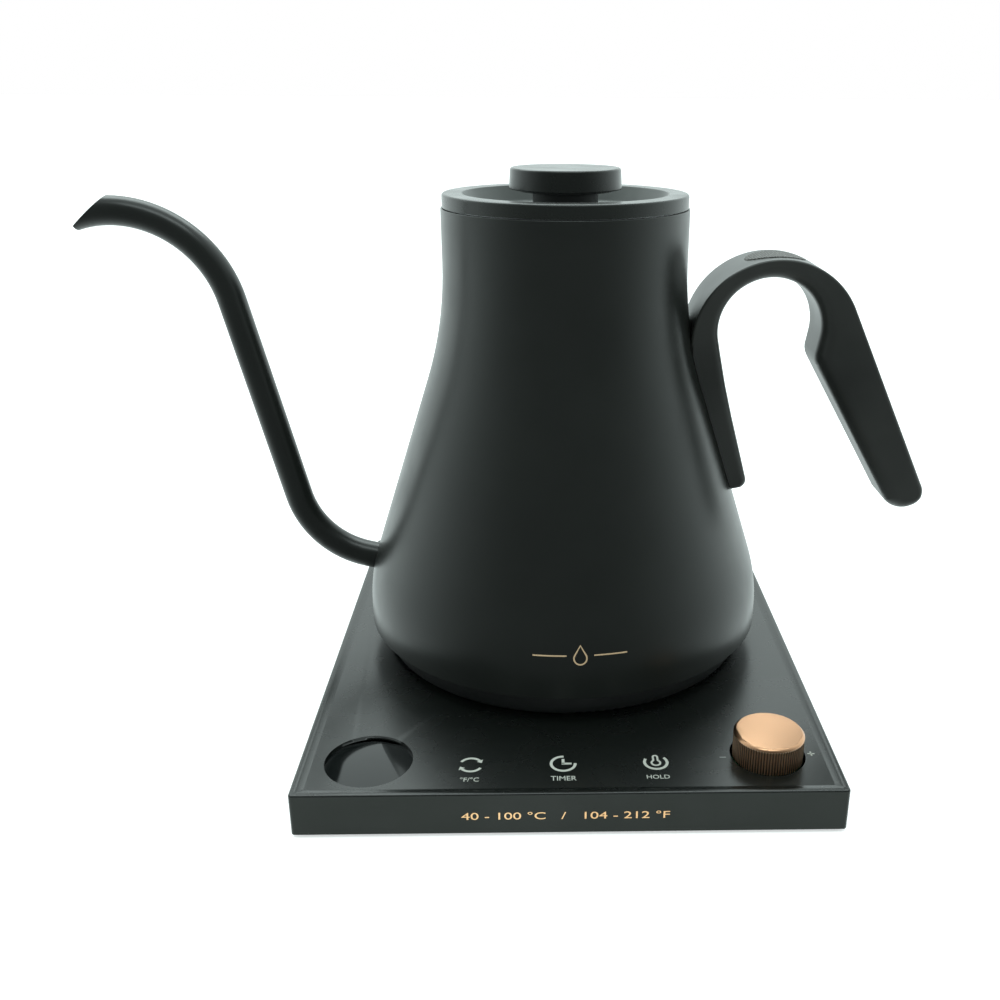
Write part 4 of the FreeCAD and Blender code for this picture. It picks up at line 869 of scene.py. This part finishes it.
# ---------------------------------------------------------------- floor, light and camera
FLOOR_SIZE = 30.0
FLOOR_GREY = 0.8
FLOOR_ROUGHNESS = 0.9
FLOOR_GLOW = 0.45
floor_corners = [(x * FLOOR_SIZE, y * FLOOR_SIZE, 0) for x, y in ((-1, -1), (1, -1), (1, 1), (-1, 1))]
floor_mesh = bpy.data.meshes.new("floor")
floor_mesh.from_pydata(floor_corners, [], [(0, 1, 2, 3)])
floor_material, floor_shader = new_material("floor_white", (FLOOR_GREY,) * 3, FLOOR_ROUGHNESS)
floor_shader.inputs["Emission Color"].default_value = (1, 1, 1, 1)
floor_shader.inputs["Emission Strength"].default_value = FLOOR_GLOW
floor_mesh.materials.append(floor_material)
floor = bpy.data.objects.new("floor", floor_mesh)
bpy.context.scene.collection.objects.link(floor)
floor.visible_glossy = False

STUDIO_TINT = (0.88, 1.0, 0.985)
STUDIO_WHITE = 1.2         # what the white surround gives to matt surfaces
GLOSS_WHITE = 1.45         # what it gives to reflections
FRONT_DARK = 0.12          # the darker room behind the camera, in reflections
DARK_UNTIL = -0.90         # where along Y the dark room starts to brighten
WHITE_FROM = 0.60          # and where it has become white
world = bpy.data.worlds.new("studio")
bpy.context.scene.world = world
world.use_nodes = True
world.cycles.sampling_method = "NONE"
tree = world.node_tree
tree.nodes.clear()


def world_node(kind, **inputs):
    """New node of the world, with its inputs set; an underscore stands for a space."""
    node = tree.nodes.new(kind)
    for key, value in inputs.items():
        node.inputs[key.replace("_", " ")].default_value = value
    return node


split = world_node("ShaderNodeSeparateXYZ")
tree.links.new(world_node("ShaderNodeTexCoord").outputs["Generated"], split.inputs["Vector"])
ramp = world_node("ShaderNodeMapRange", From_Min=DARK_UNTIL, From_Max=WHITE_FROM, To_Min=FRONT_DARK,
                  To_Max=GLOSS_WHITE)
ramp.interpolation_type = "SMOOTHSTEP"
tree.links.new(split.outputs["Y"], ramp.inputs["Value"])
reflected = world_node("ShaderNodeBackground", Color=(*STUDIO_TINT, 1))
tree.links.new(ramp.outputs["Result"], reflected.inputs["Strength"])
even = world_node("ShaderNodeBackground", Color=(*STUDIO_TINT, 1), Strength=STUDIO_WHITE)
seen = world_node("ShaderNodeBackground", Color=(1, 1, 1, 1), Strength=1.0)
path = world_node("ShaderNodeLightPath")
soft = world_node("ShaderNodeMixShader")
tree.links.new(path.outputs["Is Glossy Ray"], soft.inputs[0])
tree.links.new(even.outputs["Background"], soft.inputs[1])
tree.links.new(reflected.outputs["Background"], soft.inputs[2])
choose = world_node("ShaderNodeMixShader")
tree.links.new(path.outputs["Is Camera Ray"], choose.inputs[0])
tree.links.new(soft.outputs["Shader"], choose.inputs[1])
tree.links.new(seen.outputs["Background"], choose.inputs[2])
tree.links.new(choose.outputs["Shader"], world_node("ShaderNodeOutputWorld").inputs["Surface"])


def softbox(name, place, aim, size, energy):
    """Rectangular light that faces a point."""
    lamp = bpy.data.lights.new(name, "AREA")
    lamp.shape = "RECTANGLE"
    lamp.size = size[0]
    lamp.size_y = size[1]
    lamp.energy = energy
    lamp.color = STUDIO_TINT
    holder = bpy.data.objects.new(name, lamp)
    holder.location = place
    holder.rotation_euler = (Vector(aim) - Vector(place)).to_track_quat("-Z", "Y").to_euler()
    bpy.context.scene.collection.objects.link(holder)


MIDDLE_HEIGHT = 0.09       # about half the kettle's height
CENTRE = Vector((AXIS.x, AXIS.y, MIDDLE_HEIGHT))
BACK_LIGHT_PLACE = Vector((-0.1, 0.62, 0.95))
FRONT_LIGHT_PLACE = Vector((0.05, -0.42, 1.1))
softbox("overhead", CENTRE + BACK_LIGHT_PLACE, CENTRE, size=(1.2, 0.6), energy=8)
softbox("front_overhead", CENTRE + FRONT_LIGHT_PLACE, CENTRE, size=(0.9, 0.22), energy=3)

CAMERA_FROM_AXIS = Vector((-9.0, -370.8, 193.2)) * MM
CAMERA_TURN = 0.0265
CAMERA_PITCH = math.radians(20.993)
CAMERA_ROLL = 0.0062
FOCAL_LENGTH = 38.42       # in the usual lens millimetres, for the sensor below
SENSOR_WIDTH = 36.0
LENS_SHIFT = -0.066
NEAREST_SEEN = 0.01
ahead = Vector((math.sin(CAMERA_TURN), math.cos(CAMERA_TURN), 0))
forward = ahead * math.cos(CAMERA_PITCH) - Vector((0, 0, math.sin(CAMERA_PITCH)))
level_right = Vector((math.cos(CAMERA_TURN), -math.sin(CAMERA_TURN), 0))
level_up = level_right.cross(forward)
right = level_right * math.cos(CAMERA_ROLL) + level_up * math.sin(CAMERA_ROLL)
up = right.cross(forward)
lens_data = bpy.data.cameras.new("camera")
lens_data.lens = FOCAL_LENGTH
lens_data.sensor_width = SENSOR_WIDTH
lens_data.shift_x = LENS_SHIFT
lens_data.clip_start = NEAREST_SEEN
camera = bpy.data.objects.new("camera", lens_data)
turn = Matrix((right, up, -forward)).transposed()
camera.matrix_world = Matrix.Translation(AXIS + Vector((0, 0, BASE_TOP)) + CAMERA_FROM_AXIS) @ turn.to_4x4()
bpy.context.scene.collection.objects.link(camera)
bpy.context.scene.camera = camera
bpy.context.scene.view_settings.view_transform = "Standard"
